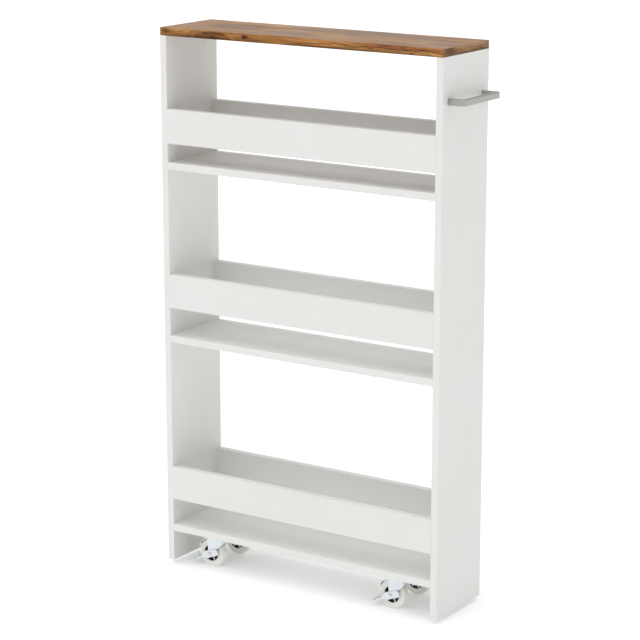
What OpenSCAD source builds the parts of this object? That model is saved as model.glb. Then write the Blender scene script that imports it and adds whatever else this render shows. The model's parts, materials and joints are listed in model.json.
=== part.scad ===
// Slim rolling pantry cart: a knock-down board carcass on four swivel casters,
// with two guard rails on each shelf and a towel bar on the right-hand side.
// Millimetres. +Z is up, -Y is the front, and the floor is at Z = 0.

/* [Carcass] */
// Width across the two side panels
carcass_w = 530; // [480:5:700]
// Depth from front to back
carcass_d = 140; // [136:2:220]
// Height from the floor to the top of the cart
cart_h = 915; // [880:5:1100]
// Thickness of the white boards
board_t = 12; // [12:0.5:16]
// Thickness of the wooden top
top_t = 13; // [12:0.5:20]
// Gap between the floor and the side panels
panel_clearance = 7; // [5:1:20]
// Thickness of the edge bands
band_t = 1; // [0.5:0.1:1.5]

/* [Shelves and rails] */
// Height of the upper face of the bottom shelf
bottom_shelf_z = 72; // [72:1:76]
// Height of the upper face of the middle shelf
middle_shelf_z = 403; // [380:1:430]
// Height of the upper face of the upper shelf
upper_shelf_z = 695; // [670:1:720]
// Height of a guard rail
rail_h = 57; // [50:1:70]
// Gap between the bottom shelf and its rails
lower_rail_gap = 45; // [30:1:60]
// Gap between the middle shelf and its rails
middle_rail_gap = 47; // [30:1:60]
// Gap between the upper shelf and its rails
upper_rail_gap = 31; // [25:1:60]

/* [Board fittings] */
// Distance from a board's end to the centre of its cam
cam_set = 24; // [24:0.5:34]
// Diameter of the cam pockets
cam_pocket_d = 15; // [15:0.5:16]
// Depth of the cam pockets
cam_pocket_depth = 9.5; // [9.5:0.1:10]
// Diameter of the wooden dowels
dowel_d = 5.9; // [5.5:0.1:5.9]
// Distance of the shelf and top fittings from the cart's middle plane
fitting_y = 42; // [30:1:50]

/* [Towel bar] */
// How far the towel bar stands out from the side panel
bar_reach = 30; // [24:1:60]
// Length of the towel bar from end to end
bar_length = 112; // [90:2:130]
// Height of the bar's section
bar_h = 10; // [8:0.5:14]
// Thickness of the bar's section
bar_t = 8; // [7:0.5:12]
// Height of the bar's centre above the floor
bar_z = 834; // [760:1:850]

/* [Casters] */
// Distance from the cart's centre to a swivel axis, along the width
swivel_x = 180; // [150:1:190]
// Distance from the cart's centre to a swivel axis, along the depth
swivel_y = 37.5; // [37.5:0.5:40]
// Distance of the wheel's axle behind the swivel axis
caster_trail = 13; // [12:0.5:14]
// Radius of the wheel
wheel_r = 24; // [23:0.5:24]
// Width of the wheel's tread
wheel_w = 14; // [12:0.5:15]
// Width across the fork's legs
fork_w = 23.2; // [22:0.2:24]
// Thickness of the fork's sheet metal
fork_t = 1.6; // [1.2:0.1:2]
// Angle of the brake lever below level
lever_tilt = 20; // [15:1:20]

/* [Hidden] */
$fn = 64;
cut = 1;

// The towel bar's reach puts the middle of the carcass left of the origin
carcass_x = -bar_reach / 2;
outer_x = carcass_w / 2;
inner_x = outer_x - board_t;
panel_x = outer_x - board_t / 2;
half_d = carcass_d / 2;
panel_top_z = cart_h - top_t;
rail_y = half_d - board_t / 2;
shelf_tops = [bottom_shelf_z, middle_shelf_z, upper_shelf_z];
rail_bottoms = [
    bottom_shelf_z + lower_rail_gap,
    middle_shelf_z + middle_rail_gap,
    upper_shelf_z + upper_rail_gap
];
lower = 0;
middle = 1;
upper = 2;
left = -1;
right = 1;
front = -1;
rear = 1;

// Board fittings
bolt_thread_r = 2.45;
bolt_body_r = 2.95;
bolt_neck_r = 1.7;
bolt_thread_depth = 8.8;
bolt_body_end = 17;
bolt_head_start = 21.5;
bolt_head_end = 24.5;
bore_gap = 0.05;
bolt_passage_r = 3.1;
blind_depth = 9;
cam_r = cam_pocket_d / 2 - 0.15;
cam_h = cam_pocket_depth - 0.3;
cam_slot = 6.6;
cam_cross_l = 9;
cam_cross_w = 1.6;
cam_cross_depth = 1.2;
sticker_r = 8.5;
sticker_t = 0.4;
dowel_in_panel = 8.5;
dowel_in_board = 20;
rail_cam_rise = 12;
rail_dowel_drop = 14;

// Towel bar
bar_outer_r = 6;
bar_inner_r = 2;
bar_leg_y = bar_length / 2 - bar_t / 2;
bar_screw_r = 2;
bar_screw_bite = 8;
bar_screw_hole_r = 2.25;
bar_screw_head_r = 4;
bar_screw_head_h = 2.4;

// Caster, in the caster's own frame: swivel axis on Z, wheel towards -X, floor at Z = 0
shelf_under_z = bottom_shelf_z - board_t;
plate_t = 2;
plate_l = 48;
plate_w = 38;
plate_corner_r = 4;
plate_hole_x = 18;
plate_hole_y = 13.5;
plate_hole_r = 2.1;
screw_r = 1.65;
screw_bite = 8.6;
screw_head_r = 3.6;
screw_head_h = 1.8;
plate_under_z = shelf_under_z - plate_t;
crown_z = plate_under_z - 3.4;
race_inner_r = 7.2;
race_outer_r = 11.4;
race_gap = 0.8;
ball_r = 1.5;
ball_ring_r = 9.4;
ball_count = 16;
ball_z = (plate_under_z + crown_z) / 2 - 0.1;
kingpin_r = 3;
kingpin_head_r = 5;
kingpin_head_h = 1.3;
kingpin_foot_r = 5.5;
kingpin_foot_h = 2;
kingpin_foot_gap = 0.2;
axle_r = 2.5;
sleeve_r = 2.85;
hub_r = 7;
boss_r = 4.6;
hub_l = fork_w - 2 * fork_t - 0.6;
rim_inner_r = 14;
tread_round_r = 2;
spoke_count = 6;
spoke_w = 2.4;
spoke_depth = wheel_w - 3;
spoke_angle = 55;
face_groove_r = 0.4;
face_groove_ring_r = 18.5;
leg_end_r = 6.5;
fork_hood_r = fork_w / 2;
axle_head_r = 3.4;
axle_head_h = 1.3;

// Brake lever and shoe, in the wheel's frame: axle on Y
lever_t = 1.2;
lever_gap = 0.4;
lever_half_h = 6;
lever_nose = 12;
lever_heel = -9;
arm_neck_x = -17;
arm_low_z = -3.6;
arm_high_z = -0.6;
lever_web_x = -28.6;
pedal_tip = -39;
pedal_corner_r = 3;
lever_inner_y = fork_w / 2 + lever_gap;
lever_outer_y = lever_inner_y + lever_t;
leaf_r = 26.2;
leaf_t = 1;
leaf_w = 10;
leaf_start = 105;
leaf_lap = 4;
leaf_end = 162;
pad_start = 150;
pad_r = 24.8;
leaf_flat_l = 9;

white = [0.93, 0.93, 0.92];
wood = [0.60, 0.43, 0.29];
steel = [0.62, 0.62, 0.60];
zinc = [0.74, 0.78, 0.82];
cream = [0.88, 0.87, 0.82];
dowel_wood = [0.80, 0.68, 0.50];

// ---- placement of the parts and of the fittings ----

module in_cart() {
    translate([carcass_x, 0, 0]) children();
}

// A fitting's frame has its origin on the joint, +X into the held board, -Z out of the cam pocket
module shelf_fittings(level, side, places) {
    for (y = places)
        translate([side * inner_x, y, shelf_tops[level] - board_t / 2])
            rotate([0, 0, side == right ? 180 : 0])
                children();
}

module rail_fitting(level, face, side, rise) {
    translate([side * inner_x, face * rail_y, rail_bottoms[level] + rail_h / 2 + rise])
        rotate([face == front ? 90 : -90, 0, 0])
            rotate([0, 0, side == right ? 180 : 0])
                children();
}

module top_fittings(side, places) {
    for (y = places)
        translate([side * panel_x, y, panel_top_z])
            rotate([0, 0, side == left ? 180 : 0])
                rotate([0, 90, 0])
                    children();
}

module all_cam_fittings() {
    for (side = [left, right]) {
        top_fittings(side, [-fitting_y, fitting_y]) children();
        for (level = [lower, middle, upper]) {
            shelf_fittings(level, side, [-fitting_y, fitting_y]) children();
            for (face = [front, rear])
                rail_fitting(level, face, side, rail_cam_rise) children();
        }
    }
}

module all_dowel_fittings() {
    for (side = [left, right]) {
        top_fittings(side, [0]) children();
        for (level = [lower, middle, upper]) {
            shelf_fittings(level, side, [0]) children();
            for (face = [front, rear])
                rail_fitting(level, face, side, -rail_dowel_drop) children();
        }
    }
}

module along_x(r, from, to) {
    translate([from, 0, 0])
        rotate([0, 90, 0])
            cylinder(r = r, h = to - from);
}

module along_y(r, from, to) {
    translate([0, to, 0])
        rotate([90, 0, 0])
            cylinder(r = r, h = to - from);
}

module cam_pocket() {
    along_x(bolt_passage_r, -cut, cam_set);
    translate([cam_set, 0, -board_t / 2 - cut])
        cylinder(d = cam_pocket_d, h = cam_pocket_depth + cut);
}

module bolt_bore() {
    along_x(bolt_thread_r + bore_gap, -blind_depth, cut);
}

module dowel_bore_in_board() {
    along_x(dowel_d / 2 + bore_gap, -cut, dowel_in_board + cut);
}

module dowel_bore_in_panel() {
    along_x(dowel_d / 2 + bore_gap, -blind_depth, cut);
}

// ---- boards ----

module top_board() {
    color(wood)
        in_cart()
            difference() {
                translate([band_t - outer_x, band_t - half_d, panel_top_z])
                    cube([carcass_w - 2 * band_t, carcass_d - 2 * band_t, top_t]);
                for (side = [left, right]) {
                    top_fittings(side, [-fitting_y, fitting_y]) bolt_bore();
                    top_fittings(side, [0]) dowel_bore_in_panel();
                }
            }
}

module side_panel(side) {
    color(white)
        in_cart()
            difference() {
                translate([
                    side * panel_x - board_t / 2,
                    band_t - half_d,
                    panel_clearance + band_t
                ])
                    cube([
                        board_t,
                        carcass_d - 2 * band_t,
                        panel_top_z - panel_clearance - band_t
                    ]);
                top_fittings(side, [-fitting_y, fitting_y]) cam_pocket();
                top_fittings(side, [0]) dowel_bore_in_board();
                for (level = [lower, middle, upper]) {
                    shelf_fittings(level, side, [-fitting_y, fitting_y]) bolt_bore();
                    shelf_fittings(level, side, [0]) dowel_bore_in_panel();
                    for (face = [front, rear]) {
                        rail_fitting(level, face, side, rail_cam_rise) bolt_bore();
                        rail_fitting(level, face, side, -rail_dowel_drop) dowel_bore_in_panel();
                    }
                }
                if (side == right)
                    for (end = [front, rear])
                        translate([0, end * bar_leg_y, bar_z])
                            along_x(bar_screw_hole_r, inner_x - cut, outer_x + cut);
            }
}

module shelf(level) {
    color(white)
        in_cart()
            difference() {
                translate([-inner_x, band_t - half_d, shelf_tops[level] - board_t])
                    cube([2 * inner_x, carcass_d - 2 * band_t, board_t]);
                for (side = [left, right]) {
                    shelf_fittings(level, side, [-fitting_y, fitting_y]) cam_pocket();
                    shelf_fittings(level, side, [0]) dowel_bore_in_board();
                }
                if (level == lower)
                    for (x = [left, right], y = [front, rear])
                        translate([x * swivel_x, y * swivel_y, 0])
                            at_plate_holes()
                                translate([0, 0, shelf_under_z - cut])
                                    cylinder(r = screw_r + bore_gap, h = blind_depth + cut);
            }
}

module rail(level, face) {
    color(white)
        in_cart()
            difference() {
                translate([-inner_x, face * rail_y - board_t / 2, rail_bottoms[level] + band_t])
                    cube([2 * inner_x, board_t, rail_h - 2 * band_t]);
                for (side = [left, right]) {
                    rail_fitting(level, face, side, rail_cam_rise) cam_pocket();
                    rail_fitting(level, face, side, -rail_dowel_drop) dowel_bore_in_board();
                }
            }
}

// ---- edge bands ----

module top_edge_bands() {
    color(wood)
        in_cart() {
            for (y = [-half_d, half_d - band_t])
                translate([-outer_x, y, panel_top_z])
                    cube([carcass_w, band_t, top_t]);
            for (x = [-outer_x, outer_x - band_t])
                translate([x, band_t - half_d, panel_top_z])
                    cube([band_t, carcass_d - 2 * band_t, top_t]);
        }
}

module side_edge_bands() {
    color(white)
        in_cart()
            for (side = [left, right])
                translate([side * panel_x - board_t / 2, 0, panel_clearance]) {
                    for (y = [-half_d, half_d - band_t])
                        translate([0, y, 0])
                            cube([board_t, band_t, panel_top_z - panel_clearance]);
                    translate([0, band_t - half_d, 0])
                        cube([board_t, carcass_d - 2 * band_t, band_t]);
                }
}

module shelf_edge_bands() {
    color(white)
        in_cart()
            for (z = shelf_tops, y = [-half_d, half_d - band_t])
                translate([-inner_x, y, z - board_t])
                    cube([2 * inner_x, band_t, board_t]);
}

module rail_edge_bands() {
    color(white)
        in_cart()
            for (z = rail_bottoms, face = [front, rear], edge = [0, rail_h - band_t])
                translate([-inner_x, face * rail_y - board_t / 2, z + edge])
                    cube([2 * inner_x, board_t, band_t]);
}

// ---- board fittings ----

module cam_bolt() {
    along_x(bolt_thread_r, -bolt_thread_depth, bore_gap);
    along_x(bolt_body_r, bore_gap, bolt_body_end);
    along_x(bolt_neck_r, bolt_body_end, bolt_head_start);
    along_x(bolt_body_r, bolt_head_start, bolt_head_end);
}

module cam_bolts() {
    color(steel)
        in_cart()
            all_cam_fittings()
                cam_bolt();
}

module cam_lock() {
    face_z = bore_gap - board_t / 2;
    translate([cam_set, 0, 0])
        difference() {
            translate([0, 0, face_z])
                cylinder(r = cam_r, h = cam_h);
            translate([-cam_r - cut, -cam_slot / 2, -cam_slot / 2])
                cube([cam_r + cut + cam_slot / 2, cam_slot, cam_slot]);
            for (turn = [0, 90])
                rotate([0, 0, turn])
                    translate([-cam_cross_l / 2, -cam_cross_w / 2, face_z - cut])
                        cube([cam_cross_l, cam_cross_w, cam_cross_depth + cut]);
        }
}

module cam_locks() {
    color(steel)
        in_cart()
            all_cam_fittings()
                cam_lock();
}

module cam_cover_stickers() {
    color(white)
        in_cart()
            all_cam_fittings()
                translate([cam_set, 0, -board_t / 2 - sticker_t])
                    cylinder(r = sticker_r, h = sticker_t);
}

module wood_dowels() {
    color(dowel_wood)
        in_cart()
            all_dowel_fittings()
                along_x(dowel_d / 2, -dowel_in_panel, dowel_in_board);
}

// ---- towel bar ----

module rounded_end_plan(length, reach, corner_r) {
    translate([0, -length / 2])
        square([reach - corner_r, length]);
    translate([0, corner_r - length / 2])
        square([reach, length - 2 * corner_r]);
    for (end = [front, rear])
        translate([reach - corner_r, end * (length / 2 - corner_r)])
            circle(r = corner_r);
}

module towel_bar() {
    color(steel)
        in_cart()
            difference() {
                translate([outer_x, 0, bar_z - bar_h / 2])
                    linear_extrude(height = bar_h)
                        difference() {
                            rounded_end_plan(bar_length, bar_reach, bar_outer_r);
                            translate([-cut, 0])
                                rounded_end_plan(
                                    bar_length - 2 * bar_t,
                                    bar_reach - bar_t + cut,
                                    bar_inner_r
                                );
                        }
                for (end = [front, rear])
                    translate([0, end * bar_leg_y, bar_z])
                        along_x(bar_screw_r + bore_gap, outer_x - cut, outer_x + bar_screw_bite + cut);
            }
}

module towel_bar_screws() {
    color(steel)
        in_cart()
            for (end = [front, rear])
                translate([0, end * bar_leg_y, bar_z]) {
                    along_x(bar_screw_head_r, inner_x - bar_screw_head_h, inner_x);
                    along_x(bar_screw_r, inner_x, outer_x + bar_screw_bite);
                }
}

// ---- casters ----

module at_caster(x, y) {
    in_cart()
        translate([x * swivel_x, y * swivel_y, 0])
            children();
}

module at_wheel() {
    translate([-caster_trail, 0, wheel_r])
        children();
}

module at_plate_holes() {
    for (x = [-plate_hole_x, plate_hole_x], y = [-plate_hole_y, plate_hole_y])
        translate([x, y, 0])
            children();
}

module ball_groove() {
    translate([0, 0, ball_z])
        rotate_extrude()
            translate([ball_ring_r, 0])
                circle(r = ball_r + bore_gap);
}

module race_ring(from, to) {
    translate([0, 0, from])
        cylinder(r = race_outer_r, h = to - from);
}

module plate_outline() {
    square([plate_l - 2 * plate_corner_r, plate_w], center = true);
    square([plate_l, plate_w - 2 * plate_corner_r], center = true);
    for (x = [-1, 1], y = [-1, 1])
        translate([x * (plate_l / 2 - plate_corner_r), y * (plate_w / 2 - plate_corner_r)])
            circle(r = plate_corner_r);
}

module mount_plate() {
    color(zinc)
        difference() {
            union() {
                translate([0, 0, plate_under_z])
                    linear_extrude(height = plate_t)
                        plate_outline();
                race_ring(ball_z + race_gap / 2, plate_under_z + cut / 2);
            }
            ball_groove();
            translate([0, 0, crown_z])
                cylinder(r = kingpin_r + bore_gap, h = plate_t + shelf_under_z - crown_z);
            translate([0, 0, shelf_under_z - kingpin_head_h - 2 * bore_gap])
                cylinder(r = kingpin_head_r + bore_gap, h = kingpin_head_h + cut);
            at_plate_holes()
                translate([0, 0, plate_under_z - cut])
                    cylinder(r = plate_hole_r, h = plate_t + 2 * cut);
        }
}

module kingpin() {
    foot_top_z = crown_z - fork_t - kingpin_foot_gap;
    color(steel) {
        translate([0, 0, foot_top_z - kingpin_foot_h])
            cylinder(r = kingpin_foot_r, h = kingpin_foot_h);
        translate([0, 0, foot_top_z - cut])
            cylinder(r = kingpin_r, h = shelf_under_z - kingpin_head_h - foot_top_z + cut);
        translate([0, 0, shelf_under_z - kingpin_head_h - bore_gap])
            cylinder(r = kingpin_head_r, h = kingpin_head_h);
    }
}

module bearing_balls() {
    color(steel)
        for (i = [0 : ball_count - 1])
            rotate([0, 0, i * 360 / ball_count])
                translate([ball_ring_r, 0, ball_z])
                    sphere(r = ball_r);
}

module fork_plan(inset) {
    back_x = -caster_trail - leg_end_r - 2;
    translate([back_x, inset - fork_hood_r])
        square([-back_x, fork_w - 2 * inset]);
    circle(r = fork_hood_r - inset);
}

// Side view of the fork: round at the axle, then a leg that widens towards the crown
module fork_side() {
    circle(r = leg_end_r);
    polygon([
        [-leg_end_r, 0], [-3.5, 7.5], [-6, crown_z - wheel_r], [26, crown_z - wheel_r],
        [26, 21.5], [12, 8.5], [leg_end_r, 0]
    ]);
}

module fork() {
    leg_foot_z = wheel_r - leg_end_r - cut;
    color(zinc)
        difference() {
            union() {
                intersection() {
                    translate([0, 0, leg_foot_z])
                        linear_extrude(height = crown_z - leg_foot_z)
                            fork_plan(0);
                    at_wheel()
                        translate([0, fork_w, 0])
                            rotate([90, 0, 0])
                                linear_extrude(height = 2 * fork_w)
                                    fork_side();
                }
                race_ring(crown_z - fork_t / 2, ball_z - race_gap / 2);
            }
            translate([0, 0, leg_foot_z - cut])
                linear_extrude(height = crown_z - fork_t - leg_foot_z + cut)
                    union() {
                        fork_plan(fork_t);
                        translate([-2 * fork_w, fork_t - fork_hood_r])
                            square([fork_w, fork_w - 2 * fork_t]);
                    }
            ball_groove();
            translate([0, 0, crown_z - fork_t - cut])
                cylinder(r = kingpin_r + bore_gap, h = plate_under_z - crown_z + fork_t + cut);
            at_wheel()
                along_y(axle_r + bore_gap, -fork_w, fork_w);
        }
}

module axle(half_span) {
    color(steel)
        at_wheel() {
            along_y(axle_r, -half_span, half_span);
            along_y(axle_head_r, -half_span - axle_head_h, -half_span);
            along_y(axle_head_r, half_span, half_span + axle_head_h);
        }
}

module sleeve() {
    color(steel)
        at_wheel()
            difference() {
                along_y(sleeve_r, -hub_l / 2, hub_l / 2);
                along_y(axle_r + bore_gap, -hub_l, hub_l);
            }
}

module rim_section() {
    shoulder = wheel_w / 2 - tread_round_r;
    difference() {
        union() {
            translate([rim_inner_r, -wheel_w / 2])
                square([wheel_r - tread_round_r - rim_inner_r, wheel_w]);
            translate([rim_inner_r, -shoulder])
                square([wheel_r - rim_inner_r, 2 * shoulder]);
            for (y = [-shoulder, shoulder])
                translate([wheel_r - tread_round_r, y])
                    circle(r = tread_round_r);
        }
        for (y = [-wheel_w / 2, wheel_w / 2])
            translate([face_groove_ring_r, y])
                circle(r = face_groove_r);
    }
}

module wheel() {
    bore_r = sleeve_r + bore_gap;
    color(cream)
        at_wheel()
            rotate([90, 0, 0])
                union() {
                    rotate_extrude()
                        rim_section();
                    rotate_extrude() {
                        translate([bore_r, -wheel_w / 2])
                            square([hub_r - bore_r, wheel_w]);
                        translate([bore_r, -hub_l / 2])
                            square([boss_r - bore_r, hub_l]);
                    }
                    for (i = [0 : spoke_count - 1])
                        rotate([0, 0, spoke_angle + i * 360 / spoke_count])
                            translate([hub_r - cut, -spoke_w / 2, -spoke_depth / 2])
                                cube([rim_inner_r - hub_r + 2 * cut, spoke_w, spoke_depth]);
                }
}

module caster_screws() {
    color(steel)
        for (x = [left, right], y = [front, rear])
            at_caster(x, y)
                at_plate_holes() {
                    translate([0, 0, plate_under_z - screw_head_h])
                        cylinder(r = screw_head_r, h = screw_head_h);
                    translate([0, 0, plate_under_z - cut / 2])
                        cylinder(r = screw_r, h = cut / 2 + plate_t + screw_bite);
                }
}

// ---- brake ----

module lever_side() {
    translate([lever_nose, 0])
        circle(r = lever_half_h);
    translate([lever_heel, 0])
        circle(r = lever_half_h);
    translate([lever_heel, -lever_half_h])
        square([lever_nose - lever_heel, 2 * lever_half_h]);
    polygon([
        [lever_heel, -lever_half_h], [lever_heel, lever_half_h], [arm_neck_x, arm_high_z],
        [lever_web_x, arm_high_z], [lever_web_x, arm_low_z], [arm_neck_x, arm_low_z]
    ]);
}

module pedal_plan() {
    pedal_l = lever_web_x - pedal_tip;
    translate([pedal_tip + pedal_corner_r, -lever_outer_y])
        square([pedal_l - pedal_corner_r + lever_t, 2 * lever_outer_y]);
    translate([pedal_tip, pedal_corner_r - lever_outer_y])
        square([pedal_l, 2 * (lever_outer_y - pedal_corner_r)]);
    for (end = [-1, 1])
        translate([pedal_tip + pedal_corner_r, end * (lever_outer_y - pedal_corner_r)])
            circle(r = pedal_corner_r);
}

module brake_lever() {
    color(zinc)
        at_wheel()
            rotate([0, -lever_tilt, 0])
                difference() {
                    union() {
                        for (near_y = [-lever_inner_y, lever_outer_y])
                            translate([0, near_y, 0])
                                rotate([90, 0, 0])
                                    linear_extrude(height = lever_t)
                                        lever_side();
                        translate([lever_web_x, -lever_outer_y, arm_low_z])
                            cube([lever_t, 2 * lever_outer_y, arm_high_z - arm_low_z]);
                        translate([0, 0, arm_low_z])
                            linear_extrude(height = lever_t)
                                pedal_plan();
                    }
                    along_y(axle_r + bore_gap, -2 * fork_w, 2 * fork_w);
                }
}

module ring_sector(r_in, r_out, from, to) {
    reach = 2 * r_out;
    middle_angle = (from + to) / 2;
    intersection() {
        difference() {
            circle(r = r_out);
            circle(r = r_in);
        }
        polygon([
            [0, 0],
            [reach * cos(from), reach * sin(from)],
            [reach * cos(middle_angle), reach * sin(middle_angle)],
            [reach * cos(to), reach * sin(to)]
        ]);
    }
}

// A leaf under the fork's crown that follows the tread and ends in a friction pad
module brake_shoe() {
    flat_z = crown_z - fork_t - leaf_t - wheel_r;
    bend_x = -leaf_flat_l / 2;
    lap_in = leaf_r + leaf_t / 4;
    lap_out = leaf_r + leaf_t * 3 / 4;
    color(steel)
        at_wheel()
            translate([0, leaf_w / 2, 0])
                rotate([90, 0, 0])
                    linear_extrude(height = leaf_w) {
                        polygon([
                            [-bend_x, flat_z],
                            [-bend_x, flat_z + leaf_t],
                            [bend_x, flat_z + leaf_t],
                            [lap_out * cos(leaf_start), lap_out * sin(leaf_start)],
                            [lap_in * cos(leaf_start), lap_in * sin(leaf_start)],
                            [bend_x + leaf_t / 2, flat_z]
                        ]);
                        ring_sector(leaf_r, leaf_r + leaf_t, leaf_start - leaf_lap, leaf_end);
                        ring_sector(pad_r, lap_out, pad_start, leaf_end - 1);
                    }
}

plain_axle = fork_w / 2 + 0.3;
braked_axle = lever_outer_y + 0.3;

top_board();
side_panel(left);  // left_side_panel
side_panel(right);  // right_side_panel
shelf(upper);  // upper_shelf
shelf(middle);  // middle_shelf
shelf(lower);  // bottom_shelf
rail(upper, front);  // upper_front_rail
rail(upper, rear);  // upper_rear_rail
rail(middle, front);  // middle_front_rail
rail(middle, rear);  // middle_rear_rail
rail(lower, front);  // lower_front_rail
rail(lower, rear);  // lower_rear_rail
top_edge_bands();
side_edge_bands();
shelf_edge_bands();
rail_edge_bands();
cam_bolts();
cam_locks();
cam_cover_stickers();
wood_dowels();
towel_bar();
towel_bar_screws();
caster_screws();
at_caster(left, front) mount_plate();  // front_left_plate
at_caster(left, front) kingpin();  // front_left_kingpin
at_caster(left, front) bearing_balls();  // front_left_balls
at_caster(left, front) fork();  // front_left_fork
at_caster(left, front) axle(braked_axle);  // front_left_axle
at_caster(left, front) sleeve();  // front_left_sleeve
at_caster(left, front) wheel();  // front_left_wheel
at_caster(right, front) mount_plate();  // front_right_plate
at_caster(right, front) kingpin();  // front_right_kingpin
at_caster(right, front) bearing_balls();  // front_right_balls
at_caster(right, front) fork();  // front_right_fork
at_caster(right, front) axle(braked_axle);  // front_right_axle
at_caster(right, front) sleeve();  // front_right_sleeve
at_caster(right, front) wheel();  // front_right_wheel
at_caster(left, rear) mount_plate();  // rear_left_plate
at_caster(left, rear) kingpin();  // rear_left_kingpin
at_caster(left, rear) bearing_balls();  // rear_left_balls
at_caster(left, rear) fork();  // rear_left_fork
at_caster(left, rear) axle(plain_axle);  // rear_left_axle
at_caster(left, rear) sleeve();  // rear_left_sleeve
at_caster(left, rear) wheel();  // rear_left_wheel
at_caster(right, rear) mount_plate();  // rear_right_plate
at_caster(right, rear) kingpin();  // rear_right_kingpin
at_caster(right, rear) bearing_balls();  // rear_right_balls
at_caster(right, rear) fork();  // rear_right_fork
at_caster(right, rear) axle(plain_axle);  // rear_right_axle
at_caster(right, rear) sleeve();  // rear_right_sleeve
at_caster(right, rear) wheel();  // rear_right_wheel
at_caster(left, front) brake_lever();  // front_left_brake_lever
at_caster(left, front) brake_shoe();  // front_left_brake_shoe
at_caster(right, front) brake_lever();  // front_right_brake_lever
at_caster(right, front) brake_shoe();  // front_right_brake_shoe
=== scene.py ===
"""Looks of the slim rolling pantry cart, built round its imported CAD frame.

Every sub-assembly is a class: it keeps the CAD boards and dresses them, or stands a finer
piece in for a CAD node. All places come from the frame, in metres, with +Z up and -Y the front.
"""

import json
import logging
import math
from dataclasses import dataclass, field, replace
from enum import Enum
from typing import Callable, Iterable, Sequence, Union

import bmesh
import bpy
from mathutils import Matrix, Vector


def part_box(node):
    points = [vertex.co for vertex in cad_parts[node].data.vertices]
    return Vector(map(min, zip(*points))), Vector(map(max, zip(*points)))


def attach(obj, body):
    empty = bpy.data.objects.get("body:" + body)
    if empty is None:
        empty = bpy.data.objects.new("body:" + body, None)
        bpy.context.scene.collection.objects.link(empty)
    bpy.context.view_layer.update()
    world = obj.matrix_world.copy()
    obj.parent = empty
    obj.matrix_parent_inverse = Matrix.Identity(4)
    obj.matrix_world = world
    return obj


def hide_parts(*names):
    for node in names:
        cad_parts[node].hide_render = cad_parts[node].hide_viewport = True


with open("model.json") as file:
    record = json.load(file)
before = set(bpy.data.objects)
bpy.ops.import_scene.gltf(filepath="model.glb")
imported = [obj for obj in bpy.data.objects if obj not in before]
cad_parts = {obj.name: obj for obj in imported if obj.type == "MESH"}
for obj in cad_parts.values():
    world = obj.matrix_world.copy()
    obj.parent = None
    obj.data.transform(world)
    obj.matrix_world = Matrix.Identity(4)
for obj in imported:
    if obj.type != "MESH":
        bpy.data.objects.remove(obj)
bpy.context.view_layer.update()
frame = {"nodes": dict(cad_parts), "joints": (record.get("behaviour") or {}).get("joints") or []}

LOG = logging.getLogger("pantry_cart")
MM = 0.001
IDENTITY = Matrix.Identity(4)

Pair = tuple[float, float]
Triple = tuple[float, float, float]
Colour = tuple[float, float, float, float]
Input = Union[bpy.types.NodeSocket, float, Triple, Colour]

WHITE: Colour = (1.0, 1.0, 1.0, 1.0)

# The values between which nearly all of a noise lies.
NOISE_LOW, NOISE_HIGH = 0.3, 0.7

# Places of a Mix node's colour sockets, which share their names with its other sockets.
MIX_FIRST, MIX_SECOND, MIX_RESULT = 6, 7, 2

# Lengths, in metres, that count as nothing when a mesh is tested or merged.
TINY, HAIR = 1e-7, 1e-5

# Turns of an edge, in radians: below the first its faces are one flat face, and above the
# second it is a corner.
FLAT_TURN, CORNER_TURN = 0.01, 1.0


def tone(red: int, green: int, blue: int) -> Colour:
    """Turns a colour as it looks on a screen into the linear colour that shaders take.

    Args:
        red: Red, 0 to 255.
        green: Green, 0 to 255.
        blue: Blue, 0 to 255.

    Returns:
        The linear colour with an alpha of 1.
    """

    def linear(level: int) -> float:
        """Returns one channel without the screen's curve."""
        share = level / 255
        return share / 12.92 if share <= 0.04045 else ((share + 0.055) / 1.055) ** 2.4

    return linear(red), linear(green), linear(blue), 1.0


class Slot(Enum):
    """The record's material slots."""

    BOARD = "white_board"
    BAND = "white_edge_band"
    TOP = "wood_top"
    TOP_BAND = "wood_edge_band"
    STICKER = "white_sticker"
    BEECH = "beech"
    BAR = "bar_metal"
    FASTENER = "fastener_steel"
    CAM = "cam_zinc"
    CASTER = "caster_zinc"
    WHEEL = "wheel_plastic"


class Axis(Enum):
    """The frame's axes."""

    X = 0
    Y = 1
    Z = 2

    @property
    def unit(self) -> Vector:
        """The axis as a unit vector."""
        return Vector(self.scale(1.0, 0.0))

    def scale(self, along: float, across: float) -> Triple:
        """Returns a scale with one number along this axis and another across it."""
        return tuple(along if axis is self else across for axis in Axis)


# ---- node graphs ----


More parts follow.
